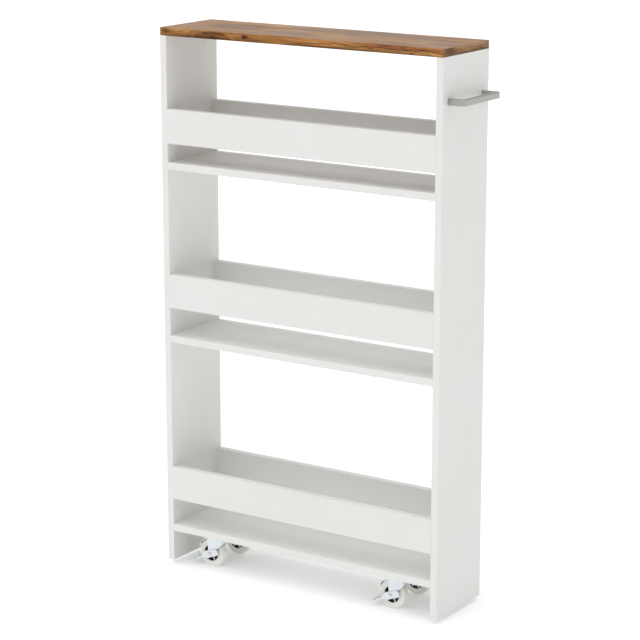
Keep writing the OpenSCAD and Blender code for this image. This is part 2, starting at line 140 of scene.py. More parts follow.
class NodeGraph:
    """The node tree of one finish, wired with short verbs."""

    def __init__(self, name: str) -> None:
        """Starts an empty tree with a Principled shader on its output.

        Args:
            name: The material's name.
        """
        self.material = bpy.data.materials.new(name)
        self.material.use_nodes = True
        self.tree = self.material.node_tree
        self.tree.nodes.clear()
        self.shader = self.node("ShaderNodeBsdfPrincipled")
        output = self.node("ShaderNodeOutputMaterial")
        self.tree.links.new(self.shader.outputs["BSDF"], output.inputs["Surface"])

    def node(self, kind: str, **settings: object) -> bpy.types.Node:
        """Adds a node.

        Args:
            kind: The node's type.
            **settings: Properties to set on it.

        Returns:
            The new node.
        """
        made = self.tree.nodes.new(kind)
        for key, value in settings.items():
            setattr(made, key, value)
        return made

    def feed(self, socket: bpy.types.NodeSocket, value: Input) -> None:
        """Links a socket to another one, or sets its plain value.

        Args:
            socket: The input socket.
            value: What goes into it.
        """
        if isinstance(value, bpy.types.NodeSocket):
            self.tree.links.new(value, socket)
        else:
            socket.default_value = value

    def place(
        self, stretch: Triple = (1.0, 1.0, 1.0), shift: Triple = (0.0, 0.0, 0.0)
    ) -> bpy.types.NodeSocket:
        """Gives object coordinates through a Mapping node.

        Args:
            stretch: Scale along the axes.
            shift: Offset along the axes, after the scale.

        Returns:
            The coordinates' socket.
        """
        coordinates = self.node("ShaderNodeTexCoord")
        mapping = self.node("ShaderNodeMapping")
        self.feed(mapping.inputs["Vector"], coordinates.outputs["Object"])
        mapping.inputs["Scale"].default_value = stretch
        mapping.inputs["Location"].default_value = shift
        return mapping.outputs["Vector"]

    def coordinate(self, axis: Axis) -> bpy.types.NodeSocket:
        """Gives one of the object coordinates.

        Args:
            axis: Which one.

        Returns:
            The value socket.
        """
        apart = self.node("ShaderNodeSeparateXYZ")
        self.feed(apart.inputs["Vector"], self.place())
        return apart.outputs[axis.name]

    def noise(
        self,
        vector: Input,
        scale: float,
        detail: float = 2.0,
        roughness: float = 0.5,
        distortion: float = 0.0,
    ) -> bpy.types.NodeSocket:
        """Adds a noise texture.

        Args:
            vector: Coordinates.
            scale: Features per metre.
            detail: Octaves.
            roughness: Weight of the finer octaves.
            distortion: Warp.

        Returns:
            The value socket.
        """
        made = self.node("ShaderNodeTexNoise")
        self.feed(made.inputs["Vector"], vector)
        made.inputs["Scale"].default_value = scale
        made.inputs["Detail"].default_value = detail
        made.inputs["Roughness"].default_value = roughness
        made.inputs["Distortion"].default_value = distortion
        return made.outputs["Fac"]

    def speckle(self, vector: Input, scale: float) -> bpy.types.NodeSocket:
        """Adds a texture of small cells, each with a tone of its own.

        Args:
            vector: Coordinates.
            scale: Cells per metre.

        Returns:
            The colour socket.
        """
        made = self.node("ShaderNodeTexVoronoi")
        self.feed(made.inputs["Vector"], vector)
        made.inputs["Scale"].default_value = scale
        return made.outputs["Color"]

    def ramp(self, factor: Input, *stops: tuple[float, Colour]) -> bpy.types.NodeSocket:
        """Adds a colour ramp.

        Args:
            factor: What drives it.
            *stops: Position and colour of each stop, in order.

        Returns:
            The colour socket.
        """
        made = self.node("ShaderNodeValToRGB")
        elements = made.color_ramp.elements
        while len(elements) < len(stops):
            elements.new(1.0)
        for element, (position, colour) in zip(elements, stops):
            element.position = position
            element.color = colour
        self.feed(made.inputs["Fac"], factor)
        return made.outputs["Color"]

    def between(self, noise: Input, low: Colour, high: Colour) -> bpy.types.NodeSocket:
        """Runs from one colour to another over the values that a noise mostly takes."""
        return self.ramp(noise, (NOISE_LOW, low), (NOISE_HIGH, high))

    def span(
        self,
        value: Input,
        low: float,
        high: float,
        to_low: float = 0.0,
        to_high: float = 1.0,
        smooth: bool = False,
    ) -> bpy.types.NodeSocket:
        """Maps a range of values onto another, held at its ends.

        Args:
            value: The value.
            low: Start of the range.
            high: End of the range.
            to_low: What the start becomes.
            to_high: What the end becomes.
            smooth: Whether it eases at the ends.

        Returns:
            The result's socket.
        """
        kind = "SMOOTHSTEP" if smooth else "LINEAR"
        made = self.node("ShaderNodeMapRange", interpolation_type=kind)
        self.feed(made.inputs["Value"], value)
        names = ("From Min", "From Max", "To Min", "To Max")
        for name, number in zip(names, (low, high, to_low, to_high)):
            made.inputs[name].default_value = number
        return made.outputs["Result"]

    def vary(self, noise: Input, low: float, high: float) -> bpy.types.NodeSocket:
        """Maps the values that a noise mostly takes onto a range."""
        return self.span(noise, NOISE_LOW, NOISE_HIGH, low, high)

    def calc(self, operation: str, first: Input, second: Input = 0.0) -> bpy.types.NodeSocket:
        """Adds a Math node.

        Args:
            operation: The operation's name.
            first: Its first number.
            second: Its second number, if it takes one.

        Returns:
            The result's socket.
        """
        made = self.node("ShaderNodeMath", operation=operation)
        self.feed(made.inputs[0], first)
        self.feed(made.inputs[1], second)
        return made.outputs["Value"]

    def times(self, *factors: Input) -> bpy.types.NodeSocket:
        """Multiplies numbers.

        Args:
            *factors: The numbers, two or more.

        Returns:
            The product's socket.
        """
        product = factors[0]
        for factor in factors[1:]:
            product = self.calc("MULTIPLY", product, factor)
        return product

    def blend(
        self, share: Input, first: Input, second: Input, mode: str = "MIX"
    ) -> bpy.types.NodeSocket:
        """Mixes two colours.

        Args:
            share: Share of the second colour.
            first: The first colour.
            second: The second colour.
            mode: The blend mode.

        Returns:
            The mixed colour's socket.
        """
        made = self.node("ShaderNodeMix", data_type="RGBA", blend_type=mode)
        self.feed(made.inputs[0], share)
        self.feed(made.inputs[MIX_FIRST], first)
        self.feed(made.inputs[MIX_SECOND], second)
        return made.outputs[MIX_RESULT]

    def ridge(self, value: Input, width: float) -> bpy.types.NodeSocket:
        """Draws thin lines where a noise passes through its middle value.

        Args:
            value: The noise.
            width: How far from the middle a line fades out.

        Returns:
            The socket, 1 on the lines and 0 away from them.
        """
        middle = (NOISE_LOW + NOISE_HIGH) / 2
        away = self.calc("ABSOLUTE", self.calc("SUBTRACT", value, middle))
        return self.span(away, 0.0, width, 1.0, 0.0, smooth=True)

    def near(self, vector: Input, centre: Triple, reach: float) -> bpy.types.NodeSocket:
        """Marks the surroundings of a point.

        Args:
            vector: Coordinates, already stretched.
            centre: The point in the same coordinates.
            reach: Distance at which the mark has gone.

        Returns:
            The socket, 1 at the point and 0 from the reach on.
        """
        made = self.node("ShaderNodeVectorMath", operation="DISTANCE")
        self.feed(made.inputs[0], vector)
        self.feed(made.inputs[1], centre)
        return self.span(made.outputs["Value"], 0.0, reach, 1.0, 0.0, smooth=True)

    def emboss(self, *layers: tuple[Input, float]) -> None:
        """Puts layers of relief on the shader's normal.

        Args:
            *layers: Height from 0 to 1, and what that height is worth in metres.
        """
        normal: Union[bpy.types.NodeSocket, None] = None
        for height, depth in layers:
            made = self.node("ShaderNodeBump")
            made.inputs["Strength"].default_value = 1.0
            made.inputs["Distance"].default_value = depth
            self.feed(made.inputs["Height"], height)
            if normal is not None:
                self.feed(made.inputs["Normal"], normal)
            normal = made.outputs["Normal"]
        if normal is not None:
            self.feed(self.shader.inputs["Normal"], normal)

    def shade(self, **values: Input) -> None:
        """Sets the shader's own sockets.

        Args:
            **values: Socket names with underscores for spaces, and what goes into them.
        """
        for name, value in values.items():
            self.feed(self.shader.inputs[name.replace("_", " ")], value)


# ---- finishes ----


@dataclass(frozen=True)
class Finish:
    """A surface finish and the record's slot that it belongs to."""

    name: str
    slot: Slot

    def paint(self, graph: NodeGraph) -> None:
        """Wires the finish's nodes.

        Args:
            graph: The material's tree.
        """
        raise NotImplementedError

    def material(self) -> bpy.types.Material:
        """Gives the finish's material, which is made on first use.

        Returns:
            The material.
        """
        found = bpy.data.materials.get(self.name)
        if found is None:
            graph = NodeGraph(self.name)
            self.paint(graph)
            found = graph.material
        return found


@dataclass(frozen=True)
class WhiteMelamine(Finish):
    """Satin white melamine paper on particle board, with a pearl emboss."""

    body: Colour = tone(230, 230, 228)
    shade_tone: Colour = tone(226, 226, 223)
    rough: Pair = (0.34, 0.42)
    cloud_per_m: float = 7.0
    gloss_per_m: float = 18.0
    wave_per_m: float = 60.0
    wave_depth: float = 0.04 * MM
    pearl_per_m: float = 1500.0
    pearl_depth: float = 0.012 * MM

    def paint(self, graph: NodeGraph) -> None:
        """Wires a cloudy white with fine pearl relief and soft changes of gloss.

        Args:
            graph: The material's tree.
        """
        place = graph.place()
        cloud = graph.noise(place, self.cloud_per_m, detail=4.0, roughness=0.6)
        colour = graph.between(cloud, self.shade_tone, self.body)
        wave = graph.noise(place, self.wave_per_m, detail=1.0)
        pearl = graph.noise(place, self.pearl_per_m)
        gloss = graph.vary(graph.noise(place, self.gloss_per_m, detail=3.0), *self.rough)
        graph.shade(Base_Color=colour, Roughness=gloss, IOR=1.5, Specular_IOR_Level=0.4)
        graph.emboss((wave, self.wave_depth), (pearl, self.pearl_depth))


@dataclass(frozen=True)
class EdgeBandFilm(Finish):
    """White plastic edge band with faint rolled lines along its length."""

    run: Axis = Axis.X
    body: Colour = tone(231, 231, 229)
    shade_tone: Colour = tone(227, 227, 224)
    rough: Pair = (0.28, 0.36)
    cloud_per_m: float = 11.0
    lines_per_m: float = 900.0
    line_squeeze: float = 0.02
    line_depth: float = 0.015 * MM

    def paint(self, graph: NodeGraph) -> None:
        """Wires a clean white with long, very fine lines.

        Args:
            graph: The material's tree.
        """
        cloud = graph.noise(graph.place(), self.cloud_per_m, detail=3.0)
        colour = graph.between(cloud, self.shade_tone, self.body)
        along = graph.place(self.run.scale(self.line_squeeze, 1.0))
        lines = graph.noise(along, self.lines_per_m, detail=1.0)
        gloss = graph.vary(cloud, *self.rough)
        graph.shade(Base_Color=colour, Roughness=gloss, IOR=1.5, Specular_IOR_Level=0.45)
        graph.emboss((lines, self.line_depth))


@dataclass(frozen=True)
class Mark:
    """A darker place in the wood: a knot with rings and a heart, or a plain stain.

    Attributes:
        centre: Its middle.
        reach: How far along the grain it goes.
        ratio: How many times as long as it is wide.
        depth: Share of its colour where its rings are darkest.
        heart: Share of the dark heart in its middle.
        colour: The colour of its rings.
    """

    centre: Triple
    reach: float
    ratio: float
    depth: float
    heart: float = 0.9
    colour: Colour = tone(84, 50, 30)


@dataclass(frozen=True)
class Strands:
    """A noise that is drawn out along the grain.

    Attributes:
        along: Features per metre along the grain.
        across: Features per metre across it.
        scale: What both of them are multiplied by.
        detail: Octaves.
        roughness: Weight of the finer octaves.
        warp: How far the features wander.
    """

    along: float
    across: float
    scale: float = 1.0
    detail: float = 2.0
    roughness: float = 0.5
    warp: float = 0.0


@dataclass(frozen=True)
class RusticWood(Finish):
    """Matt printed foil of weathered, knotty wood, with its pores embossed.

    The grain runs along the axis `run`. A pair that ends in `rise` holds the values between
    which its noise fades in.
    """

    run: Axis = Axis.X
    fineness: float = 1.0
    rough: Pair = (0.52, 0.68)
    specular: float = 0.3

    pale: Colour = tone(190, 158, 126)
    mid: Colour = tone(166, 132, 102)
    deep: Colour = tone(134, 101, 75)
    tone_stops: Triple = (0.28, 0.48, 0.7)
    tone_strands: Strands = Strands(5.0, 26.0, detail=5.0, roughness=0.6, warp=1.2)

    grey: Colour = tone(138, 124, 116)
    grey_strands: Strands = Strands(3.4, 17.0, scale=1.3, detail=3.0, warp=0.8)
    grey_rise: Pair = (0.5, 0.66)
    rose: Colour = tone(168, 136, 122)
    rose_strands: Strands = Strands(4.3, 30.0, scale=1.1, detail=4.0, roughness=0.55, warp=0.5)
    rose_rise: Pair = (0.52, 0.7)
    streak_share: float = 0.75

    fibre_dark: Colour = tone(150, 142, 134)
    fibre_pale: Colour = tone(216, 213, 210)
    fibre_strands: Strands = Strands(22.0, 420.0, detail=5.0, roughness=0.7, warp=0.3)
    fibre_share: float = 0.5
    fibre_relief: float = 0.05 * MM

    crack: Colour = tone(62, 40, 27)
    crack_strands: Strands = Strands(7.0, 60.0, detail=3.0, roughness=0.55, warp=1.6)
    crack_width: float = 0.022
    crack_gaps: Strands = Strands(9.0, 40.0)
    crack_rise: Pair = (0.45, 0.62)
    crack_share: float = 0.35
    crack_relief: float = -0.12 * MM

    pore_strands: Strands = Strands(130.0, 2600.0, detail=1.0)
    pore_rise: Pair = (0.6, 0.72)
    pore_share: float = 0.45
    pore_relief: float = -0.06 * MM

    marks: tuple[Mark, ...] = ()
    ring_waves: float = 26.0
    tear_strands: Strands = Strands(34.0, 150.0, detail=4.0, roughness=0.65, warp=0.8)
    tear_rise: Pair = (0.36, 0.56)
    tear_shares: Pair = (0.25, 1.25)
    heart: Colour = tone(52, 29, 20)
    heart_rise: Pair = (0.62, 0.9)
    wander_per_m: float = 70.0
    wander_reach: float = 14.0 * MM

    seam: Union[Triple, None] = None
    seam_bends_per_m: float = 26.0
    seam_sway: float = 2.6 * MM
    seam_half: float = 1.2 * MM
    seam_share: float = 0.75
    seam_fade: float = 30.0 * MM

    foot: Colour = tone(66, 44, 32)
    foot_z: float = 0.0
    foot_height: float = 6.0 * MM
    foot_share: float = 0.0
    foot_gaps: Strands = Strands(9.0, 30.0, detail=3.0, roughness=0.6, warp=0.6)
    foot_rise: Pair = (0.4, 0.6)
    foot_least: float = 0.15

    def strands(self, graph: NodeGraph, kind: Strands) -> bpy.types.NodeSocket:
        """Draws a noise along the grain.

        Args:
            graph: The material's tree.
            kind: The noise's measures.

        Returns:
            The value socket.
        """
        place = graph.place(self.run.scale(kind.along, kind.across * self.fineness))
        return graph.noise(place, kind.scale, kind.detail, kind.roughness, kind.warp)

    def paint(self, graph: NodeGraph) -> None:
        """Wires tones, grey and rose streaks, fibres, cracks, marks, seam, foot and pores.

        Args:
            graph: The material's tree.
        """
        tones = zip(self.tone_stops, (self.deep, self.mid, self.pale))
        base = graph.ramp(self.strands(graph, self.tone_strands), *tones)
        base = self.streaks(graph, base, self.grey_strands, self.grey_rise, self.grey)
        base = self.streaks(graph, base, self.rose_strands, self.rose_rise, self.rose)
        fibres = self.strands(graph, self.fibre_strands)
        threads = graph.between(fibres, self.fibre_dark, self.fibre_pale)
        base = graph.blend(self.fibre_share, base, threads, "OVERLAY")
        lines = graph.ridge(self.strands(graph, self.crack_strands), self.crack_width)
        open_lines = graph.span(self.strands(graph, self.crack_gaps), *self.crack_rise)
        base = graph.blend(graph.times(lines, open_lines, self.crack_share), base, self.crack)
        for mark in self.marks:
            base = self.knot(graph, base, mark)
        if self.seam is not None:
            base = self.seam_line(graph, base, self.seam)
        if self.foot_share:
            base = self.darken_foot(graph, base)
        pores = self.strands(graph, self.pore_strands)
        pits = graph.span(pores, *self.pore_rise, 0.0, self.pore_share)
        base = graph.blend(pits, base, self.crack)
        graph.shade(Base_Color=base, Roughness=graph.vary(fibres, *self.rough))
        graph.shade(IOR=1.45, Specular_IOR_Level=self.specular)
        graph.emboss(
            (lines, self.crack_relief), (fibres, self.fibre_relief), (pits, self.pore_relief)
        )

    def streaks(
        self, graph: NodeGraph, base: Input, kind: Strands, rise: Pair, colour: Colour
    ) -> bpy.types.NodeSocket:
        """Adds streaks of another tone along the grain.

        Args:
            graph: The material's tree.
            base: The colour so far.
            kind: The streaks' noise.
            rise: Values between which the streaks fade in.
            colour: Their tone.

        Returns:
            The colour with the streaks.
        """
        noise = self.strands(graph, kind)
        share = graph.span(noise, *rise, 0.0, self.streak_share, smooth=True)
        return graph.blend(share, base, colour)

    def knot(self, graph: NodeGraph, base: Input, mark: Mark) -> bpy.types.NodeSocket:
        """Adds a knot or stain: torn rings that darken the wood round a dark heart.

        Args:
            graph: The material's tree.
            base: The colour so far.
            mark: The knot or stain.

        Returns:
            The colour with the mark.
        """
        squeeze = self.run.scale(1.0, mark.ratio)
        middle = tuple(c * s for c, s in zip(mark.centre, squeeze))
        halo = graph.near(self.wandering(graph, squeeze), middle, mark.reach)
        rings = graph.calc("SINE", graph.times(halo, self.ring_waves))
        ringed = graph.span(rings, -1.0, 1.0, mark.depth * 0.5, mark.depth)
        tears = self.strands(graph, self.tear_strands)
        torn = graph.span(tears, *self.tear_rise, *self.tear_shares)
        base = graph.blend(graph.times(ringed, torn, halo), base, mark.colour)
        heart = graph.span(halo, *self.heart_rise, 0.0, mark.heart, smooth=True)
        return graph.blend(heart, base, self.heart)

    def wandering(self, graph: NodeGraph, squeeze: Triple) -> bpy.types.NodeSocket:
        """Gives coordinates that wander a few millimetres, so that knots aren't round.

        Args:
            graph: The material's tree.
            squeeze: Scale along the axes.

        Returns:
            The coordinates' socket.
        """
        wander = graph.node("ShaderNodeTexNoise")
        graph.feed(wander.inputs["Vector"], graph.place())
        wander.inputs["Scale"].default_value = self.wander_per_m
        scaled = graph.node("ShaderNodeVectorMath", operation="SCALE")
        graph.feed(scaled.inputs[0], wander.outputs["Color"])
        scaled.inputs["Scale"].default_value = self.wander_reach
        back = -self.wander_reach / 2
        moved = graph.node("ShaderNodeVectorMath", operation="ADD")
        graph.feed(moved.inputs[0], graph.place(squeeze, shift=(back, back, back)))
        graph.feed(moved.inputs[1], scaled.outputs["Vector"])
        return moved.outputs["Vector"]

    def seam_line(self, graph: NodeGraph, base: Input, start: Triple) -> bpy.types.NodeSocket:
        """Draws a wandering dark line along X, from a place on to the right.

        Args:
            graph: The material's tree.
            base: The colour so far.
            start: Where the line starts.

        Returns:
            The colour with the line.
        """
        x, z = start[Axis.X.value], start[Axis.Z.value]
        bends = graph.noise(graph.place((self.seam_bends_per_m, 0.0, 0.0)), 1.0)
        lift = graph.vary(bends, z - self.seam_sway, z + self.seam_sway)
        away = graph.calc("SUBTRACT", graph.coordinate(Axis.Z), lift)
        away = graph.calc("ABSOLUTE", away)
        line = graph.span(away, 0.0, self.seam_half, self.seam_share, 0.0, smooth=True)
        begun = graph.span(graph.coordinate(Axis.X), x, x + self.seam_fade)
        return graph.blend(graph.times(line, begun), base, self.crack)

    def darken_foot(self, graph: NodeGraph, base: Input) -> bpy.types.NodeSocket:
        """Darkens stretches of the foil near the board's lower edge.

        Args:
            graph: The material's tree.
            base: The colour so far.

        Returns:
            The darkened colour.
        """
        height = graph.coordinate(Axis.Z)
        low = graph.span(
            height, self.foot_z, self.foot_z + self.foot_height, 1.0, 0.0, smooth=True
        )
        gaps = self.strands(graph, self.foot_gaps)
        held = graph.span(gaps, *self.foot_rise, self.foot_least, 1.0)
        return graph.blend(graph.times(low, held, self.foot_share), base, self.foot)


@dataclass(frozen=True)
class BrushedMetal(Finish):
    """Metal with fine lines along one axis."""

    body: Colour = tone(178, 178, 173)
    rough: Pair = (0.34, 0.46)
    lines_per_m: float = 2600.0
    stretch: Triple = Axis.Y.scale(0.02, 1.0)
    line_shade: float = 0.88
    line_depth: float = 0.012 * MM

    def paint(self, graph: NodeGraph) -> None:
        """Wires a metal whose tone, gloss and relief follow its brush lines.

        Args:
            graph: The material's tree.
        """
        place = graph.place(self.stretch)
        lines = graph.noise(place, self.lines_per_m, detail=3.0, roughness=0.6)
        red, green, blue = (level * self.line_shade for level in self.body[:3])
        colour = graph.between(lines, (red, green, blue, 1.0), self.body)
        graph.shade(Base_Color=colour, Roughness=graph.vary(lines, *self.rough), Metallic=1.0)
        graph.emboss((lines, self.line_depth))


@dataclass(frozen=True)
class ZincPlate(Finish):
    """Bright zinc plating: a bluish passivation with faint spangle and handling marks."""

    body: Colour = tone(222, 231, 238)
    tint: Colour = tone(236, 230, 208)
    dark: Colour = tone(158, 172, 184)
    rough: Pair = (0.16, 0.36)
    drift_per_m: float = 90.0
    drift_stops: tuple[float, ...] = (0.32, 0.5, 0.66, 0.8)
    spangle_per_m: float = 700.0
    fleck: float = 0.04
    dents_per_m: float = 260.0
    dent_depth: float = 0.04 * MM
    grain_per_m: float = 2400.0
    grain_depth: float = 0.008 * MM

    def paint(self, graph: NodeGraph) -> None:
        """Wires drifting blue and straw tints with a spangled gloss.

        Args:
            graph: The material's tree.
        """
        place = graph.place()
        drift = graph.noise(
            place, self.drift_per_m, detail=3.0, roughness=0.55, distortion=0.8
        )
        tints = (self.dark, self.body, self.body, self.tint)
        colour = graph.ramp(drift, *zip(self.drift_stops, tints))
        spangle = graph.speckle(place, self.spangle_per_m)
        flecks = graph.span(spangle, 0.0, 1.0, -self.fleck, self.fleck)
        gloss = graph.calc("ADD", graph.vary(drift, *self.rough), flecks)
        dents = graph.noise(place, self.dents_per_m, detail=3.0, roughness=0.6)
        grain = graph.noise(place, self.grain_per_m)
        graph.shade(Base_Color=colour, Roughness=gloss, Metallic=1.0)
        graph.emboss((dents, self.dent_depth), (grain, self.grain_depth))


@dataclass(frozen=True)
class DieCast(Finish):
    """Grey die-cast zinc with a grainy skin."""

    body: Colour = tone(176, 178, 180)
    shade_tone: Colour = tone(150, 152, 154)
    rough: Pair = (0.4, 0.6)
    mottle_per_m: float = 400.0
    grain_per_m: float = 1800.0
    grain_depth: float = 0.02 * MM

    def paint(self, graph: NodeGraph) -> None:
        """Wires a mottled metal with cast grain.

        Args:
            graph: The material's tree.
        """
        place = graph.place()
        mottle = graph.noise(place, self.mottle_per_m, detail=4.0, roughness=0.6)
        colour = graph.between(mottle, self.shade_tone, self.body)
        graph.shade(Base_Color=colour, Roughness=graph.vary(mottle, *self.rough), Metallic=1.0)
        graph.emboss((graph.noise(place, self.grain_per_m, detail=3.0), self.grain_depth))


@dataclass(frozen=True)
class MouldedPlastic(Finish):
    """Satin plastic, slightly translucent, with a fine mould texture."""

    body: Colour = tone(236, 234, 226)
    shade_tone: Colour = tone(226, 224, 214)
    rough: Pair = (0.36, 0.5)
    haze_share: float = 0.06
    haze_depth: float = 4.0 * MM
    haze_tint: Triple = (1.0, 0.9, 0.7)
    flow_per_m: float = 85.0
    flow_depth: float = 0.03 * MM
    grain_per_m: float = 3200.0
    grain_depth: float = 0.01 * MM

    def paint(self, graph: NodeGraph) -> None:
        """Wires a plastic with flow clouds and a spark-eroded grain.

        Args:
            graph: The material's tree.
        """
        place = graph.place()
        flow = graph.noise(place, self.flow_per_m, detail=4.0, roughness=0.6, distortion=0.8)
        colour = graph.between(flow, self.shade_tone, self.body)
        graph.shade(Base_Color=colour, Roughness=graph.vary(flow, *self.rough), IOR=1.5)
        graph.shade(Subsurface_Weight=self.haze_share, Subsurface_Scale=self.haze_depth)
        graph.shade(Subsurface_Radius=self.haze_tint)
        grain = graph.noise(place, self.grain_per_m)
        graph.emboss((grain, self.grain_depth), (flow, self.flow_depth))


@dataclass(frozen=True)
class BeechRod(Finish):
    """Pale turned beech with its short brown flecks."""

    pale: Colour = tone(222, 190, 146)
    dark: Colour = tone(196, 160, 114)
    rough: Pair = (0.5, 0.65)
    fibre_scale: Triple = Axis.X.scale(30.0, 700.0)
    fibre_depth: float = 0.04 * MM
    fleck: Colour = tone(150, 104, 66)
    fleck_scale: Triple = Axis.X.scale(220.0, 2400.0)
    fleck_rise: Pair = (0.62, 0.7)
    fleck_share: float = 0.6

    def paint(self, graph: NodeGraph) -> None:
        """Wires long fibres with flecks.

        Args:
            graph: The material's tree.
        """
        fibres = graph.noise(graph.place(self.fibre_scale), 1.0, detail=4.0, roughness=0.6)
        colour = graph.between(fibres, self.dark, self.pale)
        flecks = graph.noise(graph.place(self.fleck_scale), 1.0, detail=1.0)
        share = graph.span(flecks, *self.fleck_rise, 0.0, self.fleck_share)
        colour = graph.blend(share, colour, self.fleck)
        graph.shade(Base_Color=colour, Roughness=graph.vary(fibres, *self.rough))
        graph.emboss((fibres, self.fibre_depth))


@dataclass(frozen=True)
class StudioFloor(Finish):
    """The pale floor that the cart stands on."""

    body: Colour = tone(250, 250, 250)
    shade_tone: Colour = tone(248, 248, 248)
    glow: float = 0.17
    mist_per_m: float = 0.8

    def paint(self, graph: NodeGraph) -> None:
        """Wires an even, matt, almost white surface.

        Args:
            graph: The material's tree.
        """
        mist = graph.noise(graph.place(), self.mist_per_m)
        colour = graph.between(mist, self.shade_tone, self.body)
        graph.shade(Base_Color=colour, Roughness=0.9, Specular_IOR_Level=0.1)
        graph.shade(Emission_Color=WHITE, Emission_Strength=self.glow)


# ---- the cart's own finishes ----

TOP_UNDER_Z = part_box("top_board")[0].z
TOP_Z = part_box("top_board")[1].z
LEFT_X, FRONT_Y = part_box("top_edge_bands")[0].xy
RIGHT_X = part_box("top_edge_bands")[1].x


def on_front(from_left: float, down: float) -> Triple:
    """Returns a place on the top's front edge."""
    return LEFT_X + from_left, FRONT_Y, TOP_Z - down


BOARD_WHITE = WhiteMelamine("white_melamine", Slot.BOARD)
STICKER_FILM = WhiteMelamine("sticker_film", Slot.STICKER)
BAND_UPRIGHT = EdgeBandFilm("white_band_upright", Slot.BAND, run=Axis.Z)
BAND_LEVEL = EdgeBandFilm("white_band_level", Slot.BAND, run=Axis.X)

HEART_KNOT = Mark(on_front(168.0 * MM, 6.0 * MM), reach=20.0 * MM, ratio=2.2, depth=0.7)
LONG_STAIN = Mark(
    on_front(104.0 * MM, 10.0 * MM), reach=105.0 * MM, ratio=4.2, depth=0.85, heart=0.45
)
END_SWIRL = Mark(on_front(12.0 * MM, 5.0 * MM), reach=22.0 * MM, ratio=2.0, depth=0.7, heart=0.4)
CORNER_BLOTCH = Mark(
    (RIGHT_X, FRONT_Y + 20.0 * MM, TOP_Z - 6.0 * MM),
    reach=36.0 * MM,
    ratio=2.2,
    depth=0.7,
    heart=0.35,
)
GREY_PATCH = Mark(
    (LEFT_X + 100.0 * MM, 0.0, TOP_Z),
    reach=85.0 * MM,
    ratio=1.5,
    depth=0.85,
    heart=0.0,
    colour=tone(116, 106, 106),
)
TOP_WOOD = RusticWood("rustic_wood_top", Slot.TOP, marks=(GREY_PATCH, HEART_KNOT))
LONG_EDGE_WOOD = RusticWood(
    "rustic_edge_long",
    Slot.TOP_BAND,
    fineness=2.3,
    specular=0.12,
    pale=tone(216, 164, 104),
    mid=tone(174, 122, 68),
    deep=tone(120, 76, 40),
    grey=tone(108, 78, 54),
    rose=tone(152, 96, 58),
    streak_share=0.6,
    fibre_share=0.4,
    crack=tone(46, 28, 17),
    crack_share=0.9,
    marks=(END_SWIRL, LONG_STAIN, HEART_KNOT),
    seam=((LEFT_X + RIGHT_X) / 2, FRONT_Y, TOP_Z - 6.0 * MM),
    foot_z=TOP_UNDER_Z,
    foot_share=0.9,
)
SHORT_EDGE_WOOD = replace(
    LONG_EDGE_WOOD,
    name="rustic_edge_short",
    run=Axis.Y,
    pale=tone(178, 144, 106),
    mid=tone(142, 110, 78),
    deep=tone(102, 78, 56),
    marks=(CORNER_BLOTCH,),
    seam=None,
)

BEECH = BeechRod("beech", Slot.BEECH)
BAR_SATIN = BrushedMetal("bar_satin", Slot.BAR)
BRIGHT_STEEL = BrushedMetal(
    "bright_steel",
    Slot.FASTENER,
    body=tone(226, 228, 229),
    rough=(0.2, 0.34),
    lines_per_m=900.0,
    stretch=(1.0, 1.0, 1.0),
)
CAM_CAST = DieCast("cam_cast", Slot.CAM)
CASTER_ZINC = ZincPlate("caster_zinc", Slot.CASTER)
WHEEL_PLASTIC = MouldedPlastic("wheel_plastic", Slot.WHEEL)
# Painted shade: a dark finish for the walls of the wheel's hub windows, standing in for the shade
# in those recesses.
WHEEL_WINDOW_SHADE = replace(
    WHEEL_PLASTIC, name="wheel_core_dark", body=tone(62, 60, 54), shade_tone=tone(46, 44, 39)
)


# ---- mesh work ----


